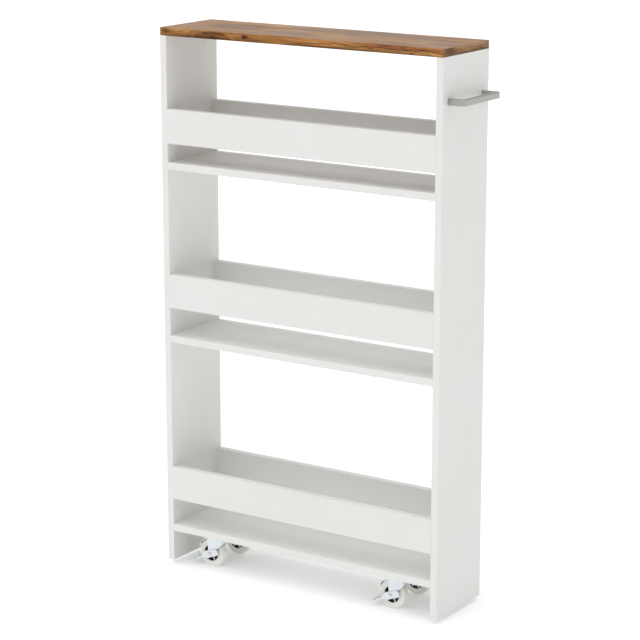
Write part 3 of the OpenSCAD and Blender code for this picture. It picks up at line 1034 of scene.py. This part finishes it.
class Form:
    """A mesh under construction, shaped with bmesh operators."""

    def __init__(self) -> None:
        """Starts with an empty mesh."""
        self.bm = bmesh.new()

    @classmethod
    def block(cls, low: Vector, high: Vector) -> "Form":
        """Makes a box.

        Args:
            low: Its lowest corner.
            high: Its highest corner.

        Returns:
            The form.
        """
        form = cls()
        bmesh.ops.create_cube(form.bm, size=1.0)
        bmesh.ops.scale(form.bm, vec=high - low, verts=form.bm.verts)
        bmesh.ops.translate(form.bm, vec=(low + high) / 2, verts=form.bm.verts)
        return form

    @classmethod
    def lathe(cls, profile: Sequence[tuple[float, float]], steps: int = 40) -> "Form":
        """Spins a section about Z into a closed shape.

        Args:
            profile: Radius and height of its points. It starts and ends on the axis, or it
                comes back to its first point.
            steps: Facets round the axis.

        Returns:
            The form.
        """
        form = cls()
        ring = profile[0] == profile[-1] and profile[0][0] > 0
        points = profile[:-1] if ring else profile
        verts = [form.bm.verts.new((radius, 0.0, height)) for radius, height in points]
        pairs = list(zip(verts, verts[1:])) + ([(verts[-1], verts[0])] if ring else [])
        edges = [form.bm.edges.new(pair) for pair in pairs]
        form.spin(verts + edges, steps)
        return form

    @classmethod
    def of_node(cls, node: str, flatness: float = 0.4) -> "Form":
        """Copies a CAD node's mesh, merged, with its flat faces made whole.

        Args:
            node: The node's name.
            flatness: Angle in degrees below which two faces count as one.

        Returns:
            The form.
        """
        form = cls()
        form.bm.from_mesh(frame["nodes"][node].data)
        bmesh.ops.remove_doubles(form.bm, verts=form.bm.verts, dist=10 * TINY)
        bmesh.ops.dissolve_limit(
            form.bm,
            angle_limit=math.radians(flatness),
            verts=form.bm.verts,
            edges=form.bm.edges,
        )
        return form

    def spin(self, geometry: list, steps: int) -> None:
        """Spins geometry a full turn about Z and closes its seam and poles.

        Args:
            geometry: Vertices and edges of the section.
            steps: Facets round the axis.
        """
        bmesh.ops.spin(
            self.bm,
            geom=geometry,
            cent=(0.0, 0.0, 0.0),
            axis=(0.0, 0.0, 1.0),
            angle=2 * math.pi,
            steps=steps,
            use_merge=True,
        )
        bmesh.ops.remove_doubles(self.bm, verts=self.bm.verts, dist=TINY)

    def edges_where(self, test: Callable[[bmesh.types.BMEdge], bool]) -> list:
        """Lists the edges that pass a test."""
        return [edge for edge in self.bm.edges if test(edge)]

    def round_edges(self, edges: Iterable, radius: float, segments: int = 3) -> "Form":
        """Rounds edges.

        Args:
            edges: The edges.
            radius: The rounding's radius.
            segments: Facets across it.

        Returns:
            This form.
        """
        bmesh.ops.bevel(
            self.bm,
            geom=list(edges),
            offset=radius,
            offset_type="OFFSET",
            segments=segments,
            profile=0.5,
            affect="EDGES",
            clamp_overlap=True,
            material=-1,
        )
        return self

    def soften(self, radius: float, angle: float = 35.0, segments: int = 2) -> "Form":
        """Rounds every edge that turns by more than an angle.

        Args:
            radius: The rounding's radius.
            angle: The least turn, in degrees.
            segments: Facets across it.

        Returns:
            This form.
        """
        least = math.radians(angle)
        return self.round_edges(
            self.edges_where(lambda e: e.calc_face_angle(0.0) > least), radius, segments
        )

    def moved(self, place: Matrix) -> "Form":
        """Moves the whole form by a matrix."""
        bmesh.ops.transform(self.bm, matrix=place, verts=self.bm.verts)
        return self

    def add(self, other: "Form", place: Matrix = IDENTITY) -> "Form":
        """Adds another form's mesh to this one.

        Args:
            other: The form, which stays as it is.
            place: Where it goes.

        Returns:
            This form.
        """
        carrier = bpy.data.meshes.new("carrier")
        other.bm.to_mesh(carrier)
        carrier.transform(place)
        self.bm.from_mesh(carrier)
        bpy.data.meshes.remove(carrier)
        return self

    def piece(
        self,
        name: str,
        finishes: Sequence[Finish],
        body: str,
        nodes: Sequence[str],
        sharp: float = 32.0,
    ) -> bpy.types.Object:
        """Turns the form into a shown piece of the cart.

        Args:
            name: The piece's name.
            finishes: Its finishes, in the order of the faces' material indices.
            body: The CAD body that it rides on.
            nodes: The CAD nodes that it stands for.
            sharp: Angle in degrees from which an edge shows as a crease.

        Returns:
            The object.

        Raises:
            ValueError: If the form has no faces.
        """
        if not self.bm.faces:
            raise ValueError(f"{name} has no faces")
        bmesh.ops.remove_doubles(self.bm, verts=self.bm.verts, dist=TINY)
        bmesh.ops.dissolve_degenerate(self.bm, edges=self.bm.edges, dist=TINY / 10)
        bmesh.ops.recalc_face_normals(self.bm, faces=self.bm.faces)
        for face in self.bm.faces:
            face.smooth = True
        for edge in self.bm.edges:
            edge.smooth = edge.calc_face_angle(0.0) < math.radians(sharp)
        mesh = bpy.data.meshes.new(name)
        self.bm.to_mesh(mesh)
        self.bm.free()
        for finish in finishes:
            mesh.materials.append(finish.material())
        made = bpy.data.objects.new(name, mesh)
        bpy.context.scene.collection.objects.link(made)
        even = made.modifiers.new("even_normals", "WEIGHTED_NORMAL")
        even.keep_sharp = True
        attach(made, body)
        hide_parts(*nodes)
        LOG.info("%s: %d faces on %s", name, len(mesh.polygons), body)
        return made


def facing(way: Vector, axis: Axis) -> bool:
    """Tells whether a unit vector lies closer to an axis than to the others, either way."""
    return abs(way.dot(axis.unit)) > math.sqrt(0.5)


def is_corner(edge: bmesh.types.BMEdge) -> bool:
    """Tells whether the faces at an edge turn sharply there."""
    return edge.calc_face_angle(0.0) > CORNER_TURN


def rise_of(edge: bmesh.types.BMEdge) -> float:
    """Returns how much higher one end of an edge lies than the other."""
    return abs(edge.verts[0].co.z - edge.verts[1].co.z)


def raise_plan(form: Form, height: float) -> None:
    """Turns a flat plan of faces into a solid.

    Args:
        form: The form that holds the plan.
        height: How high the solid gets.
    """
    raised = bmesh.ops.extrude_face_region(form.bm, geom=list(form.bm.faces))["geom"]
    lifted = [g for g in raised if isinstance(g, bmesh.types.BMVert)]
    bmesh.ops.translate(form.bm, vec=(0.0, 0.0, height), verts=lifted)
    bmesh.ops.recalc_face_normals(form.bm, faces=form.bm.faces)


def turn_about(axis: Axis, degrees: float) -> Matrix:
    """Returns the turn about one of the frame's axes."""
    return Matrix.Rotation(math.radians(degrees), 4, axis.name)


def dress_node(node: str, finish: Finish) -> None:
    """Gives a CAD node its finish.

    Args:
        node: The node's name.
        finish: The finish.
    """
    materials = frame["nodes"][node].data.materials
    materials.clear()
    materials.append(finish.material())
    LOG.info("%s: CAD node in %s", node, finish.name)


# ---- sub-assemblies ----


@dataclass
class CrossHeadScrew:
    """A pan-head screw with a cross recess. Its seat is at Z = 0 and its head points to +Z."""

    head_radius: float
    head_height: float
    shank_radius: float
    shank_length: float
    land_share: float = 0.62
    recess_share: float = 0.5
    recess_width: float = 1.1 * MM
    recess_depth: float = 1.1 * MM
    recess_taper: float = 0.6
    steps: int = 28

    def form(self) -> Form:
        """Makes the screw.

        Returns:
            The closed form.
        """
        radius, height, shank = self.head_radius, self.head_height, self.shank_radius
        form = Form()
        profile = [
            (0.0, -self.shank_length),
            (shank * 0.45, -self.shank_length),
            (shank, -self.shank_length + 2 * shank),
            (shank, 0.0),
            (radius, 0.0),
            (radius, height * 0.3),
            (radius * 0.95, height * 0.58),
            (radius * 0.83, height * 0.84),
            (radius * self.land_share, height),
        ]
        verts = [form.bm.verts.new((r, 0.0, z)) for r, z in profile]
        edges = [form.bm.edges.new(pair) for pair in zip(verts, verts[1:])]
        form.spin(verts + edges, self.steps)
        rim = form.edges_where(lambda e: len(e.link_faces) == 1)
        slot_edges = self.recess_outline(form, height)
        bmesh.ops.triangle_fill(
            form.bm, use_beauty=True, use_dissolve=False, edges=rim + slot_edges
        )
        walls = bmesh.ops.extrude_edge_only(form.bm, edges=slot_edges)["geom"]
        floor_verts = [g for g in walls if isinstance(g, bmesh.types.BMVert)]
        floor_edges = [g for g in walls if isinstance(g, bmesh.types.BMEdge)]
        centre = Matrix.Translation((0.0, 0.0, -height))
        taper = Axis.Z.scale(1.0, self.recess_taper)
        bmesh.ops.scale(form.bm, vec=taper, space=centre, verts=floor_verts)
        bmesh.ops.translate(form.bm, vec=(0.0, 0.0, -self.recess_depth), verts=floor_verts)
        bottom = [e for e in floor_edges if all(v in floor_verts for v in e.verts)]
        bmesh.ops.contextual_create(form.bm, geom=bottom)
        return form

    def recess_outline(self, form: Form, height: float) -> list:
        """Draws the cross on the head's land.

        Args:
            form: The screw so far.
            height: The land's height.

        Returns:
            The cross's edges.
        """
        half = self.recess_width / 2
        grid = bmesh.ops.create_grid(form.bm, x_segments=3, y_segments=3, size=1.5)
        lines = {1.5: self.head_radius * self.recess_share, 0.5: half}
        for vert in grid["verts"]:
            for i in (0, 1):
                vert.co[i] = math.copysign(lines[round(abs(vert.co[i]), 1)], vert.co[i])
            vert.co.z = height
        cells = {face for vert in grid["verts"] for face in vert.link_faces}
        corners = [
            f for f in cells
            if all(abs(c) > half for c in f.calc_center_median().to_2d())
        ]
        bmesh.ops.delete(form.bm, geom=corners, context="FACES")
        cross = [f for f in cells if f.is_valid]
        whole = bmesh.ops.dissolve_faces(form.bm, faces=cross)["region"]
        outline = list(whole[0].edges)
        bmesh.ops.delete(form.bm, geom=whole, context="FACES_ONLY")
        return outline


@dataclass
class Carcass:
    """The white boards, which stay the CAD's own, and the bands on their cut edges."""

    levels: tuple[str, ...] = ("upper", "middle", "bottom")
    rail_levels: tuple[str, ...] = ("upper", "middle", "lower")
    sides: tuple[str, ...] = ("left", "right")
    faces: tuple[str, ...] = ("front", "rear")
    band: float = 1.0 * MM
    arris: float = 0.5 * MM

    def build(self) -> None:
        """Dresses the boards and glues on the bands."""
        for board in self.panels() + self.shelves() + self.rails():
            dress_node(board, BOARD_WHITE)
        self.panel_bands()
        self.shelf_bands()
        self.rail_bands()

    def panels(self) -> list[str]:
        """Lists the side panels' nodes."""
        return [f"{side}_side_panel" for side in self.sides]

    def shelves(self) -> list[str]:
        """Lists the shelves' nodes."""
        return [f"{level}_shelf" for level in self.levels]

    def rails(self) -> list[str]:
        """Lists the rails' nodes."""
        return [f"{level}_{face}_rail" for level in self.rail_levels for face in self.faces]

    def strip(self, board: str, axis: Axis, end: int, run: Axis) -> Form:
        """Makes the band on one cut edge of a board.

        Args:
            board: The board's node.
            axis: The axis that the edge faces along.
            end: -1 for the low end of that axis, 1 for the high one.
            run: The axis that the band is long in.

        Returns:
            The strip, rounded along its outer long edges.
        """
        low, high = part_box(board)
        outer = (high if end > 0 else low)[axis.value] + end * self.band
        near, far = low.copy(), high.copy()
        (near if end < 0 else far)[axis.value] = outer
        (far if end < 0 else near)[axis.value] = outer - end * self.band
        return self.rounded(Form.block(near, far), axis, outer, run)

    def rounded(self, strip: Form, axis: Axis, outer: float, run: Axis) -> Form:
        """Rounds a strip's outer long edges.

        Args:
            strip: The strip.
            axis: The axis that its outer face looks along.
            outer: Where that face lies.
            run: The axis that the strip is long in.

        Returns:
            The strip.
        """

        def exposed(edge: bmesh.types.BMEdge) -> bool:
            """Tells whether an edge is an outer long one.

            Args:
                edge: The edge.

            Returns:
                Whether it is.
            """
            ends = [v.co[axis.value] for v in edge.verts]
            way = (edge.verts[0].co - edge.verts[1].co).normalized()
            return all(abs(c - outer) < TINY for c in ends) and facing(way, run)

        return strip.round_edges(strip.edges_where(exposed), self.arris)

    def panel_bands(self) -> None:
        """Bands the side panels' front, rear and bottom edges."""
        bands = Form()
        for panel in self.panels():
            for end in (-1, 1):
                low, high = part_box(panel)
                outer = (high.y if end > 0 else low.y) + end * self.band
                near = Vector((low.x, min(outer, outer - end * self.band), low.z - self.band))
                far = Vector((high.x, max(outer, outer - end * self.band), high.z))
                bands.add(self.rounded(Form.block(near, far), Axis.Y, outer, Axis.Z))
            bands.add(self.strip(panel, Axis.Z, -1, Axis.Y))
        bands.piece("side_panel_bands", [BAND_UPRIGHT], "root", ["side_edge_bands"])

    def shelf_bands(self) -> None:
        """Bands the shelves' front and rear edges."""
        bands = Form()
        for shelf in self.shelves():
            for end in (-1, 1):
                bands.add(self.strip(shelf, Axis.Y, end, Axis.X))
        bands.piece("shelf_bands", [BAND_LEVEL], "root", ["shelf_edge_bands"])

    def rail_bands(self) -> None:
        """Bands the rails' upper and lower edges."""
        bands = Form()
        for rail in self.rails():
            for end in (-1, 1):
                bands.add(self.strip(rail, Axis.Z, end, Axis.X))
        bands.piece("rail_bands", [BAND_LEVEL], "root", ["rail_edge_bands"])


@dataclass
class WoodTop:
    """The wood-grain top board and the foil that wraps its four edges."""

    band: float = 1.0 * MM
    corner: float = 1.2 * MM
    corner_facets: int = 4
    arris: float = 0.45 * MM

    def build(self) -> None:
        """Dresses the board and wraps its edges."""
        dress_node("top_board", TOP_WOOD)
        low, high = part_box("top_edge_bands")
        middle, size = (low + high) / 2, high - low
        wrap = Form()
        bmesh.ops.create_grid(wrap.bm, x_segments=1, y_segments=1, size=0.5)
        bmesh.ops.scale(wrap.bm, vec=(size.x, size.y, 1.0), verts=wrap.bm.verts)
        bmesh.ops.translate(wrap.bm, vec=(middle.x, middle.y, low.z), verts=wrap.bm.verts)
        plane = list(wrap.bm.faces)
        bmesh.ops.inset_region(
            wrap.bm,
            faces=plane,
            thickness=self.band,
            use_boundary=True,
            use_even_offset=True,
        )
        bmesh.ops.delete(wrap.bm, geom=plane, context="FACES")
        raise_plan(wrap, size.z)
        self.round_wrap(wrap, low, high)
        for face in wrap.bm.faces:
            away = face.calc_center_median() - middle
            sideways = abs(away.x) / size.x > abs(away.y) / size.y
            at_end = abs(away.x) > size.x / 2 - 2 * self.band
            face.material_index = int(sideways and at_end)
        wrap.piece("top_edge_wrap", [LONG_EDGE_WOOD, SHORT_EDGE_WOOD], "root", ["top_edge_bands"])

    def round_wrap(self, wrap: Form, low: Vector, high: Vector) -> None:
        """Rounds the wrap's corners and then its outer rims.

        Args:
            wrap: The square wrap.
            low: Its lowest corner.
            high: Its highest corner.
        """

        def outside(vert: bmesh.types.BMVert) -> bool:
            """Tells whether a vertex lies on the outer wall.

            Args:
                vert: The vertex.

            Returns:
                Whether it does.
            """
            inner = self.band * 0.75
            return not (
                low.x + inner < vert.co.x < high.x - inner
                and low.y + inner < vert.co.y < high.y - inner
            )

        upright = wrap.edges_where(
            lambda e: all(outside(v) for v in e.verts) and rise_of(e) > self.band
        )
        wrap.round_edges(upright, self.corner, self.corner_facets)
        rims = wrap.edges_where(
            lambda e: rise_of(e) < TINY and is_corner(e) and all(outside(v) for v in e.verts)
        )
        wrap.round_edges(rims, self.arris)


@dataclass
class TowelRail:
    """The bar on the right-hand side: a bent flat bar and its two screws from inside."""

    leg: float = 8.0 * MM
    outer_bend: float = 6.0 * MM
    outer_facets: int = 8
    inner_bend: float = 2.0 * MM
    inner_facets: int = 5
    arris: float = 0.8 * MM
    screw_shank: float = 2.0 * MM

    def build(self) -> None:
        """Makes the bar and its screws."""
        self.bar()
        self.screws()

    def bar(self) -> None:
        """Bends the bar: a U in plan, raised, with its bends and then its arrises rounded."""
        low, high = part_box("towel_bar")
        columns = (low.x, high.x - self.leg, high.x)
        rows = (low.y, low.y + self.leg, high.y - self.leg, high.y)
        bar = Form()
        # A plan of 2 by 3 cells, 1.5 by 1 unit each, whose corners go to the columns and rows.
        half = 1.5
        bmesh.ops.create_grid(bar.bm, x_segments=2, y_segments=3, size=half)
        for vert in bar.bm.verts:
            column, row = round((vert.co.x + half) / half), round(vert.co.y + half)
            vert.co = (columns[column], rows[row], low.z)
        middles = {face: face.calc_center_median() for face in bar.bm.faces}
        gap = [f for f, at in middles.items() if at.x < columns[1] and rows[1] < at.y < rows[2]]
        bmesh.ops.delete(bar.bm, geom=gap, context="FACES")
        raise_plan(bar, high.z - low.z)
        bmesh.ops.dissolve_limit(
            bar.bm, angle_limit=FLAT_TURN, verts=bar.bm.verts, edges=bar.bm.edges
        )
        bar_middle = high.x - self.leg / 2
        self.bend(bar, high.x - HAIR, self.outer_bend, self.outer_facets)
        self.bend(bar, columns[1] - HAIR, self.inner_bend, self.inner_facets, bar_middle)
        arrises = bar.edges_where(
            lambda e: is_corner(e)
            and any(v.co.x > low.x + HAIR for v in e.verts)
            and rise_of(e) < 10 * TINY
        )
        bar.round_edges(arrises, self.arris)
        bar.piece("towel_bar_bent", [BAR_SATIN], "root", ["towel_bar"])

    def bend(
        self,
        bar: Form,
        past_x: float,
        radius: float,
        segments: int,
        before_x: float = math.inf,
    ) -> None:
        """Rounds the upright edges between two places along X.

        Args:
            bar: The bar.
            past_x: The lower place.
            radius: The bend's radius.
            segments: Facets across it.
            before_x: The higher place.
        """
        edges = bar.edges_where(
            lambda e: is_corner(e)
            and rise_of(e) > 10 * HAIR
            and past_x < e.verts[0].co.x < before_x
        )
        bar.round_edges(edges, radius, segments)

    def screws(self) -> None:
        """Drives the two screws from inside the cart."""
        low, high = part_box("towel_bar_screws")
        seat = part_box("right_side_panel")[0].x
        radius = (high.z - low.z) / 2
        screw = CrossHeadScrew(radius, seat - low.x, self.screw_shank, high.x - seat).form()
        screws = Form()
        for y in (low.y + radius, high.y - radius):
            place = Matrix.Translation((seat, y, (low.z + high.z) / 2))
            screws.add(screw, place @ turn_about(Axis.Y, -90.0))
        screws.piece("towel_bar_screws_cross", [BRIGHT_STEEL], "root", ["towel_bar_screws"])


@dataclass
class BoardFittings:
    """The hidden hardware that holds the boards together."""

    finishes: dict[str, Finish] = field(
        default_factory=lambda: {
            "cam_bolts": BRIGHT_STEEL,
            "cam_locks": CAM_CAST,
            "cam_cover_stickers": STICKER_FILM,
            "wood_dowels": BEECH,
        }
    )

    def build(self) -> None:
        """Dresses the fittings."""
        for node, finish in self.finishes.items():
            dress_node(node, finish)


def joint_place(name: str) -> Vector:
    """Returns a point that a joint's axis passes through."""
    return Vector(next(j["pos_m"] for j in frame["joints"] if j["name"] == name))


@dataclass
class Caster:
    """One swivel caster: plate, kingpin, balls, fork, axle, sleeve and wheel."""

    corner: str
    ball_radius: float = 1.5 * MM
    ball_ring: float = 9.4 * MM
    ball_count: int = 16
    pin_radius: float = 3.0 * MM
    foot_height: float = 2.0 * MM
    foot_radius: float = 5.5 * MM
    head_radius: float = 5.0 * MM
    head_height: float = 1.3 * MM
    axle_radius: float = 2.5 * MM
    axle_head: float = 3.4 * MM
    axle_cap: float = 1.3 * MM
    sleeve_bore: float = 2.55 * MM
    crease_ahead: float = 0.8 * MM
    crease_half: float = 0.6 * MM
    crease_depth: float = 0.5 * MM
    crease_under_crown: float = 4.0 * MM
    leg_out: float = 9.0 * MM
    window: Pair = (6.8 * MM, 14.2 * MM)
    wheel_arris: float = 0.25 * MM
    wheel_arris_turn: float = 60.0
    sheet_arris: float = 0.3 * MM

    @property
    def swivel(self) -> Vector:
        """A point on the swivel axis."""
        return joint_place(f"{self.corner}_swivel")

    @property
    def hub(self) -> Vector:
        """The middle of the wheel."""
        return joint_place(f"{self.corner}_roll")

    def node(self, part: str) -> str:
        """Returns the name of one of the caster's CAD nodes."""
        return f"{self.corner}_{part}"

    def stand(
        self, form: Form, part: str, finish: Finish, body: str, suffix: str, *more: Finish
    ) -> None:
        """Stands a form in for one of the caster's CAD nodes.

        Args:
            form: The form.
            part: The part's name.
            finish: Its finish.
            body: The body, without the corner; root stays as it is.
            suffix: What the piece's name adds to the node's.
            *more: Further finishes, for faces with a higher material index.
        """
        rides = body if body == "root" else f"{self.corner}_{body}"
        form.piece(f"{self.node(part)}_{suffix}", [finish, *more], rides, [self.node(part)])

    def build(self) -> None:
        """Makes the caster's parts."""
        plate = Form.of_node(self.node("plate")).soften(self.sheet_arris)
        self.stand(plate, "plate", CASTER_ZINC, "root", "pressed")
        self.stand(self.kingpin(), "kingpin", BRIGHT_STEEL, "root", "riveted")
        self.stand(self.balls(), "balls", BRIGHT_STEEL, "swivel_body", "round")
        fork = self.crease(Form.of_node(self.node("fork"))).soften(self.sheet_arris)
        self.stand(fork, "fork", CASTER_ZINC, "swivel_body", "pressed")
        self.stand(self.axle(), "axle", BRIGHT_STEEL, "swivel_body", "riveted")
        self.stand(self.sleeve(), "sleeve", BRIGHT_STEEL, "swivel_body", "turned")
        wheel = Form.of_node(self.node("wheel"))
        wheel.soften(self.wheel_arris, self.wheel_arris_turn)
        # The walls of the hub windows get painted shade, a dark finish.
        self.paint_window_shade(wheel)
        self.stand(wheel, "wheel", WHEEL_PLASTIC, "wheel_body", "moulded", WHEEL_WINDOW_SHADE)

    def crease(self, fork: Form) -> Form:
        """Presses the upright crease into both legs, where the flat turns into the hood.

        Args:
            fork: The fork as the CAD has it.

        Returns:
            The fork.
        """
        middle = self.swivel.x + self.crease_ahead
        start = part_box(self.node("fork"))[1].z - self.crease_under_crown
        uprights = (middle - self.crease_half, middle, middle + self.crease_half)
        cuts = [(Axis.X.unit * x, Axis.X.unit) for x in uprights]
        cuts.append((Axis.Z.unit * start, Axis.Z.unit))
        near = 10 * TINY
        for point, normal in cuts:
            legs = [
                f for f in fork.bm.faces
                if all(abs(v.co.y - self.swivel.y) > self.leg_out for v in f.verts)
            ]
            around = {g for f in legs for g in (*f.verts, *f.edges)}
            bmesh.ops.bisect_plane(
                fork.bm, geom=legs + list(around), dist=near, plane_co=point, plane_no=normal
            )
        for vert in fork.bm.verts:
            away = vert.co.y - self.swivel.y
            on_line = abs(vert.co.x - middle) < 2 * near and vert.co.z < start + near
            if on_line and abs(away) > self.leg_out:
                vert.co.y -= math.copysign(self.crease_depth, away)
        return fork

    def paint_window_shade(self, wheel: Form) -> None:
        """Paints shade on the walls of the windows between the spokes: they get a dark finish
        that stands in for the shade in these recesses.

        Args:
            wheel: The wheel.
        """
        for face in wheel.bm.faces:
            away = face.calc_center_median() - self.hub
            radius = math.hypot(away.x, away.z)
            inside = self.window[0] < radius < self.window[1]
            face.material_index = int(inside and not facing(face.normal, Axis.Y))

    def kingpin(self) -> Form:
        """Turns the kingpin with its domed foot.

        Returns:
            The form.
        """
        low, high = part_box(self.node("kingpin"))
        foot, top = low.z, low.z + self.foot_height
        under_head = high.z - self.head_height
        radius = self.foot_radius
        profile = [
            (0.0, foot),
            (radius * 0.35, foot),
            (radius * 0.68, foot + 0.3 * MM),
            (radius * 0.9, foot + 0.9 * MM),
            (radius, foot + 1.6 * MM),
            (radius, top),
            (self.pin_radius, top),
            (self.pin_radius, under_head),
            (self.head_radius, under_head),
            (self.head_radius, high.z - 0.3 * MM),
            (self.head_radius - 0.3 * MM, high.z),
            (0.0, high.z),
        ]
        return Form.lathe(profile).moved(Matrix.Translation((self.swivel.x, self.swivel.y, 0.0)))

    def balls(self) -> Form:
        """Sets the ring of balls.

        Returns:
            The form.
        """
        low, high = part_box(self.node("balls"))
        ball = Form()
        bmesh.ops.create_icosphere(ball.bm, subdivisions=2, radius=self.ball_radius)
        ring = Form()
        middle = Matrix.Translation((self.swivel.x, self.swivel.y, (low.z + high.z) / 2))
        for i in range(self.ball_count):
            turn = turn_about(Axis.Z, i * 360.0 / self.ball_count)
            ring.add(ball, middle @ turn @ Matrix.Translation((self.ball_ring, 0.0, 0.0)))
        return ring

    def axle(self) -> Form:
        """Turns the axle with its two riveted ends.

        Returns:
            The form.
        """
        low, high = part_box(self.node("axle"))
        end = (high.y - low.y) / 2
        seat = end - self.axle_cap
        radius = self.axle_head
        cap = [
            (0.0, end - 0.45 * MM),
            (radius * 0.2, end - 0.4 * MM),
            (radius * 0.34, end),
            (radius * 0.72, end - 0.2 * MM),
            (radius * 0.94, end - 0.6 * MM),
            (radius, seat + 0.3 * MM),
            (radius, seat),
            (self.axle_radius, seat),
        ]
        profile = cap + [(r, -z) for r, z in reversed(cap)]
        place = Matrix.Translation(self.hub) @ turn_about(Axis.X, 90.0)
        return Form.lathe(profile).moved(place)

    def sleeve(self) -> Form:
        """Turns the sleeve that the wheel runs on.

        Returns:
            The form.
        """
        low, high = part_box(self.node("sleeve"))
        half, outer, bore = (high.y - low.y) / 2, (high.z - low.z) / 2, self.sleeve_bore
        profile = [(bore, -half), (outer, -half), (outer, half), (bore, half), (bore, -half)]
        place = Matrix.Translation(self.hub) @ turn_about(Axis.X, 90.0)
        return Form.lathe(profile).moved(place)


@dataclass
class BrakedCaster(Caster):
    """A swivel caster with a foot brake on its axle."""

    tilt: float = 20.0
    pedal_from: float = 31.5 * MM
    pedal_pitch: float = 2.4 * MM
    pedal_top: float = -2.4 * MM
    rib_count: int = 3
    rib_half_width: float = 0.5 * MM
    rib_half_length: float = 9.0 * MM
    rib_height: float = 0.5 * MM
    rib_root: float = 0.4 * MM
    rib_round: float = 0.4 * MM
    shoe_arris: float = 0.15 * MM

    def build(self) -> None:
        """Makes the caster's parts and its brake."""
        super().build()
        lever = Form.of_node(self.node("brake_lever")).soften(self.sheet_arris)
        lever.add(self.ribs())
        self.stand(lever, "brake_lever", CASTER_ZINC, "brake_body", "pressed")
        shoe = Form.of_node(self.node("brake_shoe")).soften(self.shoe_arris)
        self.stand(shoe, "brake_shoe", BRIGHT_STEEL, "swivel_body", "sprung")

    def ribs(self) -> Form:
        """Presses the grip ribs on the pedal.

        Returns:
            The form.
        """
        ribs = Form()
        for i in range(self.rib_count):
            middle = Vector((-self.pedal_from - i * self.pedal_pitch, 0.0, self.pedal_top))
            half = Vector((self.rib_half_width, self.rib_half_length, 0.0))
            low = middle - half - Axis.Z.unit * self.rib_root
            high = middle + half + Axis.Z.unit * self.rib_height
            rib = Form.block(low, high)
            top_edges = rib.edges_where(lambda e: all(v.co.z > self.pedal_top for v in e.verts))
            ribs.add(rib.round_edges(top_edges, self.rib_round))
        return ribs.moved(Matrix.Translation(self.hub) @ turn_about(Axis.Y, -self.tilt))


@dataclass
class CasterScrews:
    """The four screws through each caster's plate."""

    corners: tuple[str, ...]
    hole_x: float = 18.0 * MM
    hole_y: float = 13.5 * MM
    head: tuple[float, float] = (3.6 * MM, 1.8 * MM)
    shank: tuple[float, float] = (1.65 * MM, 10.6 * MM)

    def build(self) -> None:
        """Makes all the screws as one piece."""
        screw = CrossHeadScrew(*self.head, *self.shank).form()
        screws = Form()
        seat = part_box("caster_screws")[0].z + self.head[1]
        for corner in self.corners:
            axis = joint_place(f"{corner}_swivel")
            for x in (-self.hole_x, self.hole_x):
                for y in (-self.hole_y, self.hole_y):
                    place = Matrix.Translation((axis.x + x, axis.y + y, seat))
                    screws.add(screw, place @ turn_about(Axis.X, 180.0))
        screws.piece("caster_screws_cross", [BRIGHT_STEEL], "root", ["caster_screws"])


@dataclass
class Studio:
    """The pale floor, the soft light and the camera."""

    floor_half: float = 40.0
    sky: float = 0.6
    sun_power: float = 1.57
    sun_spread: float = 80.0
    sun_turn: Triple = (12.0, -8.0, 0.0)
    camera_place: Triple = (1.9364, -2.9774, 1.3267)
    camera_down: float = 13.849
    camera_azimuth: float = 33.257
    lens: float = 126.73
    sight: float = 200.0

    def build(self) -> None:
        """Sets up the stage."""
        self.floor()
        self.lights()
        self.camera()
        bpy.context.scene.view_settings.view_transform = "Standard"

    def floor(self) -> None:
        """Lays the floor."""
        mesh = bpy.data.meshes.new("studio_floor")
        bm = bmesh.new()
        bmesh.ops.create_grid(bm, x_segments=1, y_segments=1, size=self.floor_half)
        bm.to_mesh(mesh)
        bm.free()
        mesh.materials.append(StudioFloor("studio_floor", Slot.BOARD).material())
        floor = bpy.data.objects.new("studio_floor", mesh)
        bpy.context.scene.collection.objects.link(floor)

    def lights(self) -> None:
        """Hangs one broad soft light in an even white room."""
        world = bpy.data.worlds.new("studio_room")
        world.use_nodes = True
        background = world.node_tree.nodes["Background"]
        background.inputs["Color"].default_value = WHITE
        background.inputs["Strength"].default_value = self.sky
        bpy.context.scene.world = world
        sun = bpy.data.lights.new("overhead_softbox", "SUN")
        sun.energy = self.sun_power
        sun.angle = math.radians(self.sun_spread)
        lamp = bpy.data.objects.new("overhead_softbox", sun)
        lamp.rotation_euler = [math.radians(t) for t in self.sun_turn]
        bpy.context.scene.collection.objects.link(lamp)

    def camera(self) -> None:
        """Stands the camera in front of the cart, to its right and above it."""
        data = bpy.data.cameras.new("studio_camera")
        data.lens = self.lens
        data.clip_end = self.sight
        camera = bpy.data.objects.new("studio_camera", data)
        camera.location = self.camera_place
        camera.rotation_euler = (
            math.radians(90.0 - self.camera_down),
            0.0,
            math.radians(self.camera_azimuth),
        )
        bpy.context.scene.collection.objects.link(camera)
        bpy.context.scene.camera = camera


def main() -> None:
    """Builds the cart's looks, sub-assembly by sub-assembly."""
    logging.basicConfig(level=logging.INFO, format="%(message)s")
    Carcass().build()
    WoodTop().build()
    BoardFittings().build()
    TowelRail().build()
    front, rear = ("front_left", "front_right"), ("rear_left", "rear_right")
    for corner in front:
        BrakedCaster(corner).build()
    for corner in rear:
        Caster(corner).build()
    CasterScrews(front + rear).build()
    Studio().build()


if __name__ == "__main__":
    main()
